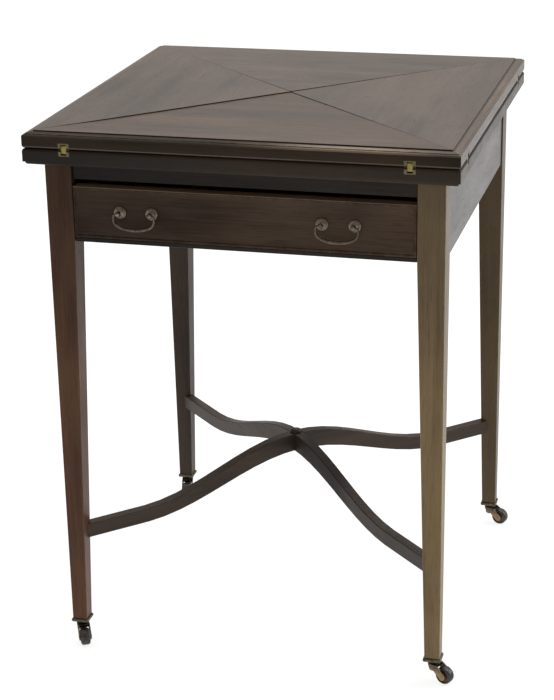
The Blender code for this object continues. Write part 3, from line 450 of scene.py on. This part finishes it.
def box_shape(shape, low, high):
    low, high = Vector(low), Vector(high)
    place = Matrix.Translation((low + high) / 2) @ Matrix.Diagonal((*(high - low), 1.0))
    return bmesh.ops.create_cube(shape, size=1.0, matrix=place)["verts"]


def box(name, low, high, look):
    shape = bmesh.new()
    box_shape(shape, low, high)
    return to_object(name, shape, look)


def cut(made, *cutters):
    for cutter in cutters:
        step = made.modifiers.new("cut", "BOOLEAN")
        step.operation = "DIFFERENCE"
        step.object = cutter
        step.solver = "EXACT"
    apply(made)
    for cutter in cutters:
        bpy.data.objects.remove(cutter)
    return made


def tidy(made, angle=0.2, distance=0.00001):
    """Merges the split corners of a mesh and joins its level triangles."""
    shape = bmesh.new()
    shape.from_mesh(made.data)
    bmesh.ops.remove_doubles(shape, verts=shape.verts, dist=distance)
    bmesh.ops.dissolve_limit(shape, angle_limit=math.radians(angle), verts=shape.verts, edges=shape.edges)
    bmesh.ops.recalc_face_normals(shape, faces=shape.faces)
    shape.to_mesh(made.data)
    shape.free()
    return made


def refined(name, node, body, slot, look, width, segments=3):
    """A copy of a CAD node with its arrises rounded."""
    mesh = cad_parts[node].data.copy()
    mesh.materials.clear()
    mesh.materials.append(look)
    made = bpy.data.objects.new(name, mesh)
    bpy.context.scene.collection.objects.link(made)
    tidy(made)
    soften(made, width, segments)
    smooth(made)
    return settle(made, body, slot, node)


def lathe(shape, profile, place, steps=36, closed=False):
    """Rings of (radius, height) round an axis that place turns and moves."""
    rings = []
    for radius, height in profile:
        if radius < 1e-7:
            rings.append([shape.verts.new(place @ Vector((0, 0, height)))])
            continue
        ring = []
        for i in range(steps):
            angle = 2 * math.pi * i / steps
            ring.append(shape.verts.new(place @ Vector((radius * math.cos(angle), radius * math.sin(angle), height))))
        rings.append(ring)
    pairs = list(zip(rings, rings[1:])) + ([(rings[-1], rings[0])] if closed else [])
    for upper, lower in pairs:
        for i in range(steps):
            j = (i + 1) % steps
            corners = []
            for vert in (upper[i % len(upper)], upper[j % len(upper)], lower[j % len(lower)], lower[i % len(lower)]):
                if vert not in corners:
                    corners.append(vert)
            if len(corners) > 2:
                shape.faces.new(corners)


def arc(centre, radius, start, end, steps=8):
    spots = []
    for i in range(steps + 1):
        angle = math.radians(start + (end - start) * i / steps)
        spots.append((centre[0] + radius * math.cos(angle), centre[1] + radius * math.sin(angle)))
    return spots


def turn_mesh(made, degrees):
    made.data.transform(Matrix.Rotation(math.radians(degrees), 4, "Z"))
    return made


# The turning top

def flap_profile():
    """From the meeting face upwards: seam round, flat edge, nose, quirk, falling ledge and the step to the field."""
    ledge = FLAP_THICK - STEP_DROP - LEDGE_FALL
    foot = ledge - QUIRK_DEPTH - NOSE_DROP
    spots = arc((SEAM, SEAM), SEAM, 270, 180)
    spots += [(LEDGE_OUT + LEDGE_OUT * x, foot + NOSE_DROP * z) for x, z in arc((0, 0), 1.0, 180, 90)]
    spots += [(LEDGE_OUT, ledge)]
    for i in range(1, 7):
        share = i / 6
        spots.append((LEDGE_OUT + (FLAT_INSET - LEDGE_OUT) * share, ledge + LEDGE_FALL * math.sin(share * math.pi / 2)))
    spots.append((FLAT_INSET, FLAP_THICK))
    return [(d, FLAP_UNDER + z) for d, z in spots]


FLAP_PROFILE = flap_profile()
# Half of each mitre's opening, at the corner and at the middle: some joints stand wider than others
MITRES = {"front_left": (0.00045, 0.00100), "front_right": (0.00005, 0.00085), "back_right": (0.00005, 0.00100),
          "back_left": (0.00005, 0.00036)}
MITRE_ENDS = {"front": ("front_left", "front_right"), "right": ("front_right", "back_right"),
              "back": ("back_right", "back_left"), "left": ("back_left", "front_left")}


def prism(name, corners, low, high):
    shape = bmesh.new()
    bottom = [shape.verts.new((x, y, low)) for x, y in corners]
    top = [shape.verts.new((x, y, high)) for x, y in corners]
    shape.faces.new(bottom)
    shape.faces.new(top)
    for i, vert in enumerate(bottom):
        j = (i + 1) % len(bottom)
        shape.faces.new((vert, bottom[j], top[j], top[i]))
    return to_object(name, shape, LOOKS["iron"])


def cloth_corners(spare=0.0):
    inset = FLAP_BORDER * math.sqrt(2)
    edge = -HALF + BED_BORDER
    half = -edge - inset
    slim = spare * (1 + math.sqrt(2))
    return [(-half + slim, edge + spare), (half - slim, edge + spare), (0.0, -inset - spare * math.sqrt(2))]


def slots(face, way):
    """Cutters for a pair of links and for their leaves: face is the meeting plane, way is up or down from it."""
    made = []
    for side in (-1, 1):
        x = side * HINGE_PLACE + HINGE_SHIFT
        for label, half, deep, tall, start in (
                ("link", SLOT_HALF, SEAM + SLOT_REACH, SEAM + SLOT_REACH, -CUT_PAST),
                ("outer", LEAF_HALF, LEAF_THICK, LEAF_REACH, LEAF_START),
                ("inner", LEAF_HALF, LEAF_INNER, LEAF_THICK, -CUT_PAST)):
            front = LEAF_START if label == "inner" else -CUT_PAST
            z0, z1 = sorted((face + way * start, face + way * tall))
            made.append(box(f"{label}_cut", (x - half, -HALF + front, z0), (x + half, -HALF + deep, z1), LOOKS["iron"]))
    return made


# How far each flap's face has sunk at a share of the way in: along its left mitre and along its right mitre
SINKS = {"front": (lambda t: 0.0013 * ease(t / 0.34), lambda t: 0.0013 * t ** 1.4),
         "right": (lambda t: 0.0002 * t + 0.0004 * t ** 4, lambda t: 0.0008 * t ** 1.6),
         "back": (lambda t: 0.0, lambda t: 0.0), "left": (lambda t: 0.0004 * t * t, lambda t: 0.0)}


def ease(t):
    t = min(1.0, max(0.0, t))
    return t * t * (3 - 2 * t)


def warp(made, side):
    """Old flaps don't lie level with each other: the field of a sunken one dips towards the middle."""
    left, right = SINKS[side]
    shape = bmesh.new()
    shape.from_mesh(made.data)
    for axis, count in (((0, 1, 0), 14), ((1, 0, 0), 20)):
        for i in range(1, count):
            field = [f for f in shape.faces if f.normal.z > 0.9 and f.calc_center_median().z > TOP - FIT]
            geometry = field + list({e for f in field for e in f.edges}) + list({v for f in field for v in f.verts})
            spot = Vector((0, -HALF + (HALF - 0.001) * i / count, 0)) if axis[1] else \
                Vector((-HALF + 2 * HALF * i / count, 0, 0))
            bmesh.ops.bisect_plane(shape, geom=geometry, dist=0.000001, plane_co=spot, plane_no=axis)
    for vert in shape.verts:
        if vert.co.z < TOP - FIT / 2:
            continue
        share = min(1.0, max(0.0, (HALF + vert.co.y - FLAT_INSET) / (HALF - FLAT_INSET)))
        across = vert.co.x / max(0.001, -vert.co.y)
        across = min(1.0, max(0.0, (across + 1) / 2))
        vert.co.z -= left(share) * (1 - across) + right(share) * across
    shape.to_mesh(made.data)
    shape.free()


def make_flap(side, turn):
    left, right = (MITRES[end] for end in MITRE_ENDS[side])
    shape = bmesh.new()
    rows = []
    for d, z in FLAP_PROFILE:
        share = d / HALF
        lift = [pair[0] + (pair[1] - pair[0]) * share for pair in (left, right)]
        rows.append([shape.verts.new((-(HALF - d) + lift[0], -HALF + d, z)),
                     shape.verts.new((HALF - d - lift[1], -HALF + d, z))])
    tip = (left[1] + right[1]) / 2
    apex = [shape.verts.new(((left[1] - right[1]) / 2, -tip, z)) for z in (FLAP_UNDER, TOP)]
    for lower, upper in zip(rows, rows[1:]):
        shape.faces.new((lower[0], lower[1], upper[1], upper[0]))
    shape.faces.new((rows[0][0], rows[0][1], apex[0]))
    shape.faces.new((rows[-1][0], rows[-1][1], apex[1]))
    for hand in (0, 1):
        shape.faces.new([row[hand] for row in rows] + [apex[1], apex[0]])
    made = to_object(f"flap_wood_{side}", shape, LOOKS[f"top_{side}"])
    made.data.materials.append(LOOKS["edge_x" if turn % 180 == 0 else "edge_y"])
    made.data.materials.append(LOOKS["nose_x" if turn % 180 == 0 else "nose_y"])
    made.data.materials.append(LOOKS["seam_x" if turn % 180 == 0 else "seam_y"])
    # The field keeps the top's look; the upright edge takes the darker edge look as painted shade, the ledge near the
    # front takes the nose look as painted highlight, and the lower arris takes the seam look (painted highlight on
    # front and back, painted shade on the sides)
    for face in made.data.polygons:
        field = face.normal.z > 0.5 and face.center.z > TOP - FIT
        clean = face.normal.z > 0.05 and face.center.y < -HALF + CLEAN_LEDGE
        seam = -0.98 < face.normal.z < -0.15
        face.material_index = 0 if field else 2 if clean else 3 if seam else 1
    recess = prism("recess", cloth_corners(), FLAP_UNDER - 0.01, FLAP_UNDER + RECESS)
    cut(made, recess, *slots(FLAP_UNDER, 1))
    tidy(made)
    warp(made, side)
    turn_mesh(made, turn)
    soften(made, 0.00028, 2)
    smooth(made, 32)
    settle(made, f"flap_{side}", "top_veneer", f"flap_{side}")


def make_bed():
    profile = [(BED_BORDER, BED_TOP - RECESS), (BED_BORDER, BED_TOP)]
    profile += [(d, BED_TOP + z) for d, z in arc((SEAM, -SEAM), SEAM, 90, 180)]
    ledge = BED_UNDER + UNDER_ROUND + UNDER_FILLET
    profile += [(0.0, ledge), (UNDER_LEDGE, ledge)]
    profile += [(d, BED_UNDER + z) for d, z in arc((UNDER_LEDGE + UNDER_ROUND, UNDER_ROUND), UNDER_ROUND, 180, 270)]
    shape = bmesh.new()
    rings = []
    for d, z in profile:
        rings.append([shape.verts.new((sx * (HALF - d), sy * (HALF - d), z)) for sx, sy in CORNERS.values()])
    for upper, lower in zip(rings, rings[1:]):
        for i in range(4):
            shape.faces.new((upper[i], upper[(i + 1) % 4], lower[(i + 1) % 4], lower[i]))
    shape.faces.new(rings[0])
    shape.faces.new(rings[-1])
    made = to_object("bed_wood", shape, LOOKS["bed"])
    made.data.materials.append(LOOKS["hollow"])
    # Upward-sloping faces, the upper arris in the seam groove, take the dull hollow look painted for the groove's shade
    for face in made.data.polygons:
        face.material_index = int(0.2 < face.normal.z < 0.98)
    for turn in SIDES.values():
        cutters = slots(BED_TOP, -1)
        for cutter in cutters:
            turn_mesh(cutter, turn)
        cut(made, *cutters)
    tidy(made)
    soften(made, 0.0003, 2)
    smooth(made, 32)
    settle(made, "top", "top_veneer", "top_bed")


def make_leaf(side, turn, hand, body, face, way):
    """A hinge leaf let flush into an edge and into the meeting face, slotted for the link, with two screws."""
    x = hand * HINGE_PLACE + HINGE_SHIFT
    shape = bmesh.new()
    skin = 0.00008
    for low, high in ((-LEAF_HALF + skin, -SLOT_HALF), (SLOT_HALF, LEAF_HALF - skin)):
        z0, z1 = sorted((face + way * (LEAF_START + skin), face + way * (LEAF_REACH - skin)))
        box_shape(shape, (x + low, -HALF + skin, z0), (x + high, -HALF + LEAF_THICK, z1))
        z0, z1 = sorted((face + way * skin, face + way * LEAF_THICK))
        box_shape(shape, (x + low, -HALF + LEAF_START, z0), (x + high, -HALF + LEAF_INNER - skin, z1))
    tall = SEAM + SLOT_REACH
    z0, z1 = sorted((face + way * tall, face + way * (LEAF_REACH - skin)))
    box_shape(shape, (x - SLOT_HALF, -HALF + skin, z0), (x + SLOT_HALF, -HALF + LEAF_THICK, z1))
    z0, z1 = sorted((face + way * skin, face + way * LEAF_THICK))
    box_shape(shape, (x - SLOT_HALF, -HALF + tall, z0), (x + SLOT_HALF, -HALF + LEAF_INNER - skin, z1))
    bmesh.ops.remove_doubles(shape, verts=shape.verts, dist=0.00001)
    for screw in (-1, 1):
        spot = Vector((x + screw * LEAF_HALF * 0.56, -HALF + LEAF_INNER * 0.76, face))
        head = [(0, 0.00006), (SCREW * 0.8, 0.00006), (SCREW, -0.0001), (SCREW * 0.6, -0.0007), (0, -0.0007)]
        flip = Matrix.Diagonal((1, 1, -way, 1))
        lathe(shape, head, Matrix.Translation(spot) @ flip, 16)
    made = to_object(f"leaf_{body}_{side}_{'left' if hand < 0 else 'right'}", shape, LOOKS["leaf"])
    turn_mesh(made, turn)
    soften(made, 0.00012, 1, 40)
    smooth(made, 30)
    settle(made, body, "hinge_brass")


def make_link(side, turn, hand):
    x = hand * HINGE_PLACE + HINGE_SHIFT
    gap = PIN_HIGH - PIN_LOW
    outline = arc((0, 0), LINK_ROUND, 180, 360, 14) + arc((0, gap), LINK_ROUND, 0, 180, 14)
    shape = bmesh.new()
    ends = []
    for reach in (-LINK_HALF, LINK_HALF):
        ends.append([shape.verts.new((x + reach, -PIN_OUT + y, PIN_LOW + z)) for y, z in outline])
        shape.faces.new(ends[-1])
    for i in range(len(outline)):
        j = (i + 1) % len(outline)
        shape.faces.new((ends[0][i], ends[0][j], ends[1][j], ends[1][i]))
    name = "left" if hand < 0 else "right"
    made = to_object(f"link_{side}_{name}", shape, LOOKS["link"])
    turn_mesh(made, turn)
    soften(made, 0.0003, 2, 50)
    smooth(made, 40)
    settle(made, f"links_{side}", "hinge_brass", f"hinge_link_{side}_{name}")


def make_cloth(name, corners, low, body, node):
    """Cloth glued into its recess, its face faintly uneven."""
    shape = bmesh.new()
    ring = [shape.verts.new((x, y, low)) for x, y in corners]
    shape.faces.new(ring)
    bmesh.ops.triangulate(shape, faces=shape.faces)
    for _ in range(4):
        bmesh.ops.subdivide_edges(shape, edges=shape.edges, cuts=1, use_grid_fill=True)
    for vert in shape.verts:
        x, y = vert.co.x, vert.co.y
        vert.co.z += 0.00009 * math.sin(x * 61 + 1.3 * y * 17) * math.sin(y * 47 - x * 13)
    made = to_object(name, shape, LOOKS["baize"])
    thick = made.modifiers.new("cloth", "SOLIDIFY")
    thick.thickness = CLOTH
    thick.offset = 0.0
    apply(made)
    smooth(made, 60)
    settle(made, body, "baize", node)
    return made


def make_top():
    make_bed()
    edge = HALF - BED_BORDER - 2 * FIT
    square = [(-edge, -edge), (edge, -edge), (edge, edge), (-edge, edge)]
    make_cloth("bed_cloth", square, BED_TOP - RECESS + CLOTH_MIDDLE, "top", "bed_baize")
    corners = cloth_corners(2 * FIT)
    for side, turn in SIDES.items():
        make_flap(side, turn)
        spin = Matrix.Rotation(math.radians(turn), 2)
        spots = [tuple(spin @ Vector(corner)) for corner in corners]
        make_cloth(f"flap_cloth_{side}", spots, FLAP_UNDER + RECESS - CLOTH_MIDDLE, f"flap_{side}",
                   f"flap_baize_{side}")
        for hand in (-1, 1):
            make_link(side, turn, hand)
            make_leaf(side, turn, hand, f"flap_{side}", FLAP_UNDER, 1)
            make_leaf(side, turn, hand, "top", BED_TOP, -1)


# The frame and the drawer

def make_frame():
    for corner in CORNERS:
        refined(f"leg_wood_{corner}", f"leg_{corner}", "frame", "mahogany",
                LOOKS[f"leg_{corner}"], 0.0005)
    for node, look in (("side_rail_left", "rail_y"), ("side_rail_right", "rail_y"), ("back_rail", "rail_x"),
                       ("front_rail_upper", "rail_x"), ("front_rail_lower", "rail_x")):
        refined(f"{node}_wood", node, "frame", "mahogany", LOOKS[look], 0.0004)
    for bar in ("a", "b"):
        refined(f"stretcher_wood_{bar}", f"stretcher_bar_{bar}", "frame", "mahogany", LOOKS[f"bar_{bar}"], 0.0005, 2)
    low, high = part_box("stretcher_cap")
    crown = high.z
    rise = 0.0040
    radius = (high.x - low.x) / 2
    dome = [(radius * math.cos(math.radians(a)), crown - rise * (1 - math.sin(math.radians(a))) * 0.72)
            for a in range(90, -1, -9)]
    dome[0] = (0.0, crown)
    dome += [(radius, crown - rise), (radius * 0.35, crown - rise), (radius * 0.35, low.z), (0, low.z)]
    shape = bmesh.new()
    lathe(shape, dome, Matrix.Identity(4), 40)
    cap = smooth(to_object("stretcher_boss", shape, LOOKS["bar_a"]), 50)
    settle(cap, "frame", "mahogany", "stretcher_cap")


def make_drawer():
    front = refined("drawer_front_wood", "drawer_front", "drawer", "mahogany", LOOKS["drawer"], 0.0004)
    front.data.materials.append(LOOKS["bead"])
    front.data.materials.append(LOOKS["drawer_top"])
    low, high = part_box("drawer_front")
    for face in front.data.polygons:
        centre = face.center
        proud = centre.y < PANEL_FACE - 0.0001
        rim = min(centre.x - low.x, high.x - centre.x, centre.z - low.z, high.z - centre.z) < BEAD_WIDE
        if proud or (rim and centre.y < low.y + BEAD_DEEP):
            face.material_index = 1
        # The front's top edge takes the lighter drawer_top look, a painted highlight
        if face.normal.z > 0.7 and centre.z > high.z - BEAD_DEEP:
            face.material_index = 2
    for node in ("drawer_side_left", "drawer_side_right", "drawer_back", "drawer_bottom", "drawer_runner_left",
                 "drawer_runner_right", "pivot_board"):
        dress(node, LOOKS["pine"])
    for node in ("pivot_bolt", "pivot_washer", "pivot_nut"):
        dress(node, LOOKS["iron"])


def dress(node, look):
    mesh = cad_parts[node].data
    mesh.materials.clear()
    mesh.materials.append(look)


def make_post(name, x):
    """A rosette, a waisted neck and a ball, with its shank and nut behind the drawer front."""
    reach = POST_REACH
    ball = 0.0034
    spots = [(r, reach + z) for r, z in arc((0, 0), ball, 90, -44, 12)]
    spots += [(0.0021, 0.0066), (0.0021, 0.0056), (0.0027, 0.0048), (0.0040, 0.0042), (0.0046, 0.0038)]
    spots += [(0.0048, 0.0031), (0.0056, 0.0029), (0.0061, 0.0031), (0.0066, 0.0029), (0.0070, 0.0021)]
    spots += [(0.0078, 0.0018), (0.0082, 0.0012), (0.0082, 0.0003), (0.0019, 0.0003)]
    depth = -(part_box(name)[1].y - PANEL_FACE)
    spots += [(0.0019, depth + 0.0030), (0.0042, depth + 0.0030), (0.0042, depth), (0.0, depth)]
    spots[0] = (0.0, spots[0][1])
    place = Matrix.Translation((x, PANEL_FACE, HANDLE_Z)) @ Matrix.Rotation(math.pi / 2, 4, "X")
    shape = bmesh.new()
    lathe(shape, spots, place, 32)
    made = smooth(to_object(f"{name}_metal", shape, LOOKS["rosette"]), 38)
    settle(made, "drawer", "aged_brass", name)


BAIL_ROUTE = [(0.0171, 0.0, 0.62), (0.0210, 0.0, 0.62), (0.0255, 0.0, 0.66), (0.0268, -0.0012, 0.72),
              (0.0273, -0.0055, 0.80), (0.0266, -0.0100, 0.86), (0.0240, -0.0142, 0.92), (0.0190, -0.0170, 0.98),
              (0.0125, -0.0188, 1.04), (0.0060, -0.0197, 1.10)]


def make_bail(name, middle, body):
    """A swelling swan-neck bail, thickest at its lowest point."""
    curve = bpy.data.curves.new(name, "CURVE")
    curve.dimensions = "3D"
    curve.bevel_depth = 0.0021
    curve.bevel_resolution = 4
    curve.resolution_u = 8
    curve.use_fill_caps = True
    line = curve.splines.new("NURBS")
    spots = [(-x, z, size) for x, z, size in BAIL_ROUTE] + [(0.0, -0.0200, 1.15)]
    spots += [(x, z, size) for x, z, size in reversed(BAIL_ROUTE)]
    line.points.add(len(spots) - 1)
    for point, (x, z, size) in zip(line.points, spots):
        point.co = (middle + x, PANEL_FACE - POST_REACH, HANDLE_Z + z, 1.0)
        point.radius = size
    line.order_u = 4
    line.use_endpoint_u = True
    drawn = bpy.data.objects.new(name, curve)
    bpy.context.scene.collection.objects.link(drawn)
    bpy.context.view_layer.update()
    mesh = bpy.data.meshes.new_from_object(drawn.evaluated_get(bpy.context.evaluated_depsgraph_get()))
    bpy.data.objects.remove(drawn)
    made = bpy.data.objects.new(f"{name}_metal", mesh)
    bpy.context.scene.collection.objects.link(made)
    mesh.materials.clear()
    mesh.materials.append(LOOKS["bail"])
    tidy(made, 0.01)
    smooth(made, 60)
    settle(made, body, "aged_brass", name)


def make_handles():
    for hand, sign in (("left", -1), ("right", 1)):
        middle = sign * HANDLE_X + HANDLE_SHIFT
        for end, way in (("left", -1), ("right", 1)):
            make_post(f"handle_{hand}_post_{end}", middle + way * POST_SPACING / 2)
        make_bail(f"handle_{hand}_bail", middle, f"{hand}_bail")


# Castors

def make_castor(corner):
    sx, sy = CORNERS[corner]
    turn = CASTOR_TURNS[corner]
    spot = Matrix.Translation((sx * LEG_AXIS, sy * LEG_AXIS, 0)) @ Matrix.Rotation(math.radians(turn), 4, "Z")
    refined(f"castor_plate_metal_{corner}", f"castor_plate_{corner}", "frame", "aged_brass", LOOKS["plate"], 0.0005)
    top = CASTOR_TOP - PLATE_DEEP
    crown = top - CROWN_DROP
    base = top - NECK_HEIGHT
    shape = bmesh.new()
    neck = [(NECK_BORE, top), (0.0060, top), (0.0063, top - 0.0004), (0.0063, top - 0.0010), (0.0056, top - 0.0016),
            (0.0055, crown + 0.0052), (0.0060, crown + 0.0046), (0.0070, crown + 0.0042), (0.0072, crown + 0.0034),
            (0.0070, crown + 0.0024), (0.0070, crown), (NECK_BASE, crown - 0.0006), (NECK_BASE, base + 0.0005),
            (NECK_BASE - 0.0005, base), (NECK_BORE, base)]
    lathe(shape, neck, spot, 36, closed=True)
    metal = LOOKS[f"horn_{corner}"]
    horn = to_object(f"castor_horn_metal_{corner}", shape, metal)
    parts = [horn]
    axle = WHEEL * math.cos(math.pi / WHEEL_FACETS)
    half = WHEEL_HALF
    inner = half + CHEEK_GAP
    reach = inner + CHEEK_THICK
    cheek = [(HORN_FRONT, crown), (HORN_FRONT, crown + CROWN_THICK), (TRAIL * 0.50, crown + CROWN_THICK)]
    cheek += [(TRAIL * 0.72, crown + 0.0022)] + arc((TRAIL, axle), CHEEK_END, 48, -150, 18)
    cheek += [(TRAIL * 0.50, crown - 0.0070), (TRAIL * 0.28, crown - 0.0030)]
    for way in (-1, 1):
        shape = bmesh.new()
        faces = []
        for depth in (inner, reach):
            ring = [shape.verts.new(spot @ Vector((x, way * depth, z))) for x, z in cheek]
            faces.append(ring)
            shape.faces.new(ring)
        for i in range(len(cheek)):
            j = (i + 1) % len(cheek)
            shape.faces.new((faces[0][i], faces[0][j], faces[1][j], faces[1][i]))
        parts.append(to_object("cheek", shape, metal))
    shape = bmesh.new()
    lows = box_shape(shape, (HORN_FRONT, -reach, crown), (TRAIL * 0.5, reach, crown + CROWN_THICK))
    bmesh.ops.transform(shape, matrix=spot, verts=lows)
    parts.append(to_object("crown", shape, metal))
    across = spot @ Matrix.Translation((TRAIL, 0, axle)) @ Matrix.Rotation(math.pi / 2, 4, "X")
    shape = bmesh.new()
    rivet = [(0, reach + 0.0007), (0.0012, reach + 0.0006), (0.0021, reach + 0.0002), (0.0022, reach - 0.0004),
             (0.0016, reach - 0.0006)]
    rivet += [(radius, -height) for radius, height in reversed(rivet)]
    lathe(shape, rivet, across, 24)
    parts.append(to_object("axle", shape, metal))
    for part in parts[1:]:
        step = horn.modifiers.new("join", "BOOLEAN")
        step.operation = "UNION"
        step.object = part
        step.solver = "EXACT"
    apply(horn)
    for part in parts[1:]:
        bpy.data.objects.remove(part)
    tidy(horn, 0.05)
    soften(horn, 0.00035, 2, 35)
    smooth(horn, 38)
    settle(horn, f"castor_{corner}", "aged_brass", f"castor_horn_{corner}")
    shoulder = [(axle - 0.0025, half), (axle - 0.0014, half - 0.0004), (axle - 0.0006, half - 0.0012),
                (axle - 0.0002, half - 0.0023), (axle, half - 0.0034)]
    tyre = [(TREAD_INNER, half), *shoulder, *((radius, -wide) for radius, wide in reversed(shoulder)),
            (TREAD_INNER, -half), (TREAD_INNER - 0.0006, -half + 0.0009), (TREAD_INNER - 0.0006, half - 0.0009)]
    shape = bmesh.new()
    lathe(shape, tyre, across, 60, closed=True)
    wheel = smooth(to_object(f"castor_tread_{corner}", shape, LOOKS["wheel"]), 40)
    settle(wheel, f"wheel_{corner}", "castor_wheel", f"castor_wheel_{corner}")
    web = [(0.0019, half), (0.0044, half), (0.0050, half - 0.0004), (0.0054, half - 0.0012), (0.0085, half - 0.0012),
           (0.0085, -half + 0.0012), (0.0054, -half + 0.0012), (0.0050, -half + 0.0004), (0.0044, -half),
           (0.0019, -half)]
    shape = bmesh.new()
    lathe(shape, web, across, 48, closed=True)
    hub = smooth(to_object(f"castor_hub_{corner}", shape, LOOKS[f"hub_{corner}"]), 40)
    settle(hub, f"wheel_{corner}", "castor_wheel")


# The room

def area(name, place, target, size, power, colour):
    light = bpy.data.lights.new(name, "AREA")
    light.shape = "RECTANGLE"
    light.size, light.size_y = size
    light.energy = power
    light.color = colour
    made = bpy.data.objects.new(name, light)
    bpy.context.scene.collection.objects.link(made)
    made.location = place
    made.rotation_euler = (Vector(target) - Vector(place)).to_track_quat("-Z", "Y").to_euler()


def make_room():
    shape = bmesh.new()
    bmesh.ops.create_grid(shape, x_segments=1, y_segments=1, size=14.0)
    floor = to_object("floor", shape, plain_floor("floor_paint"))
    world = bpy.data.worlds.new("studio")
    bpy.context.scene.world = world
    world.use_nodes = True
    sky = world.node_tree.nodes["Background"]
    sky.inputs["Color"].default_value = (1.0, 0.98, 0.955, 1.0)
    sky.inputs["Strength"].default_value = 0.42
    area("overhead", (0.2, 1.2, 3.6), (0, 0.5, 0.0), (4.6, 4.6), 165, (1.0, 0.99, 0.97))
    area("back_panel", (-1.0, 5.6, 2.9), (0, 0, 0.5), (6.5, 3.2), 8, (1.0, 0.94, 0.88))
    area("right_window", (3.2, 1.6, 1.6), (0.2, 0.0, 0.5), (2.4, 2.2), 62, (0.98, 0.99, 1.0))


def make_camera():
    lens = bpy.data.cameras.new("camera")
    lens.sensor_fit = "VERTICAL"
    lens.sensor_height = SENSOR_HIGH
    lens.lens = FOCAL / PICTURE_HIGH * SENSOR_HIGH
    lens.clip_start = 0.05
    camera = bpy.data.objects.new("camera", lens)
    bpy.context.scene.collection.objects.link(camera)
    yaw, pitch, roll = (math.radians(v) for v in CAMERA_TURN)
    ahead = Vector((-math.sin(yaw) * math.cos(pitch), math.cos(yaw) * math.cos(pitch), math.sin(pitch)))
    right = Vector((math.cos(yaw), math.sin(yaw), 0))
    up = right.cross(ahead)
    side = math.cos(roll) * right + math.sin(roll) * up
    head = -math.sin(roll) * right + math.cos(roll) * up
    place = Matrix((side, head, -ahead)).transposed().to_4x4()
    place.translation = Vector(CAMERA_PLACE)
    camera.matrix_world = place
    bpy.context.scene.camera = camera
    bpy.context.scene.view_settings.view_transform = "Standard"


make_camera()
make_room()
make_top()
make_frame()
make_drawer()
make_handles()
for castor in CORNERS:
    make_castor(castor)
